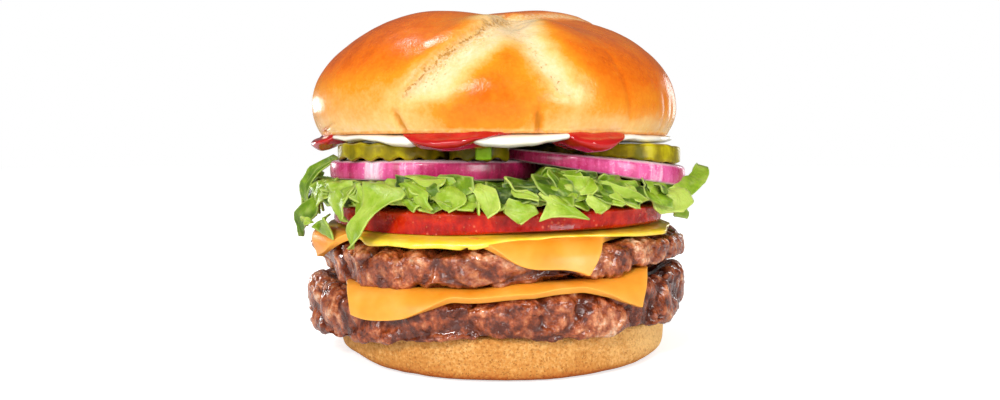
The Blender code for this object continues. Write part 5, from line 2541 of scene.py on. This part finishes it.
def build_pickle_end() -> Skin:
    """A small bright end cut that peeks out between the chips.

    Returns:
        The built mesh.
    """
    shape = bmesh.new()
    bmesh.ops.create_cube(shape, size=1.0)
    bmesh.ops.bevel(shape, geom=list(shape.edges), offset=0.18, segments=3, profile=0.6,
                    affect="EDGES")
    bmesh.ops.subdivide_edges(shape, edges=list(shape.edges), cuts=3, use_grid_fill=True)
    skin = Skin("pickle_end_cut", shape)
    size = np.array((3.8, 3.0, 3.2)) * MM
    skin.place(skin.points * size + np.array((-3.0, -38.0, 52.3)) * MM)
    grain = Grain(87)
    skin.swell(0.25 * MM * grain.layered(skin.points, 2.2 * MM, 3))
    skin.mark("tone", 0.5 + 0.4 * grain.soft(skin.points, 2 * MM))
    skin.mark("wall", np.zeros(len(skin.points)))
    skin.mark("seed", np.zeros(len(skin.points)))
    return skin


def build_sauces(below: Sequence[Skin]) -> None:
    """Mayonnaise all round, with ketchup coming through in four places.

    Args:
        below: The onions and pickles.
    """
    Mayonnaise().build(below).finish(MAYONNAISE.make(), Slot.MAYONNAISE, "mayonnaise")
    ketchup = KETCHUP.make()
    dollops = (
        KetchupDollop("ketchup_left", 91, 50.2 * MM,
                      ((-84, 55.0), (-78, 53.4), (-70, 52.4), (-63, 53.4), (-58, 55.0))),
        KetchupDollop("ketchup_front", 92, 48.7 * MM,
                      ((-31, 56.0), (-28, 54.6), (-23, 52.9), (-17, 52.2), (-11, 52.6),
                       (-7, 54.0), (-2, 55.3), (6, 56.2))),
        KetchupDollop("ketchup_right", 93, 49.4 * MM,
                      ((19, 55.0), (23, 52.9), (28, 51.8), (34, 52.4), (38, 54.2), (42, 55.6))),
        KetchupDollop("ketchup_back", 94, 48.6 * MM,
                      ((142, 55.6), (150, 53.4), (160, 53.0), (168, 54.0), (174, 55.6))),
    )
    for dollop in dollops:
        dollop.build(below).finish(ketchup, Slot.KETCHUP, dollop.node)


def main() -> None:
    """Builds the burger from the heel up."""
    logging.basicConfig(level=logging.INFO, format="%(relativeCreated)6d %(message)s")
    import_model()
    Studio().build()
    beef, cheese = SearedBeef().make(), SoftCheese().make()
    Heel().build().finish(PorousCrust().make(), Slot.CRUMB_CRUST, "bun_heel")
    lower = Patty("patty_lower", 5, 2.2 * MM, 0.5 * MM, 5.2 * MM, droop=3.6 * MM, lift=2.6 * MM,
                  tone=0.40).build()
    lower.finish(beef, Slot.BEEF, "patty_lower")
    lower_slice = LowerSlice("cheese_lower", 31, rise=4.1 * MM)
    lower_slice.dress(lower_slice.build(lower), cheese)
    upper = Patty("patty_upper", 9, 1.0 * MM, 4.6 * MM, 1.0 * MM, droop=1.5 * MM, recess=0.09).build()
    upper.finish(beef, Slot.BEEF, "patty_upper")
    upper_slice = UpperSlice("cheese_upper", 37)
    slice_skin = upper_slice.build(upper)
    upper_slice.dress(slice_skin, cheese)
    tomato = TomatoSlice().build()
    tomato.finish(RipeTomato().make(), Slot.TOMATO, "tomato_slice")
    Mustard().build(slice_skin, tomato).finish(YellowMustard().make(), Slot.MUSTARD, "mustard")
    leaf = CrispLeaf().make()
    lettuce = Lettuce()
    lettuce.dress(lettuce.build([tomato]), leaf)
    lettuce.bed().finish(leaf, Slot.LETTUCE)
    onions = build_onions(RedOnion().make())
    pickles = build_pickles(BrinedPickle().make())
    build_sauces([*onions, *pickles])
    Crown().build().finish(GlazedCrust().make(), Slot.GLAZED_CRUST, "bun_crown")


if __name__ == "__main__":
    main()
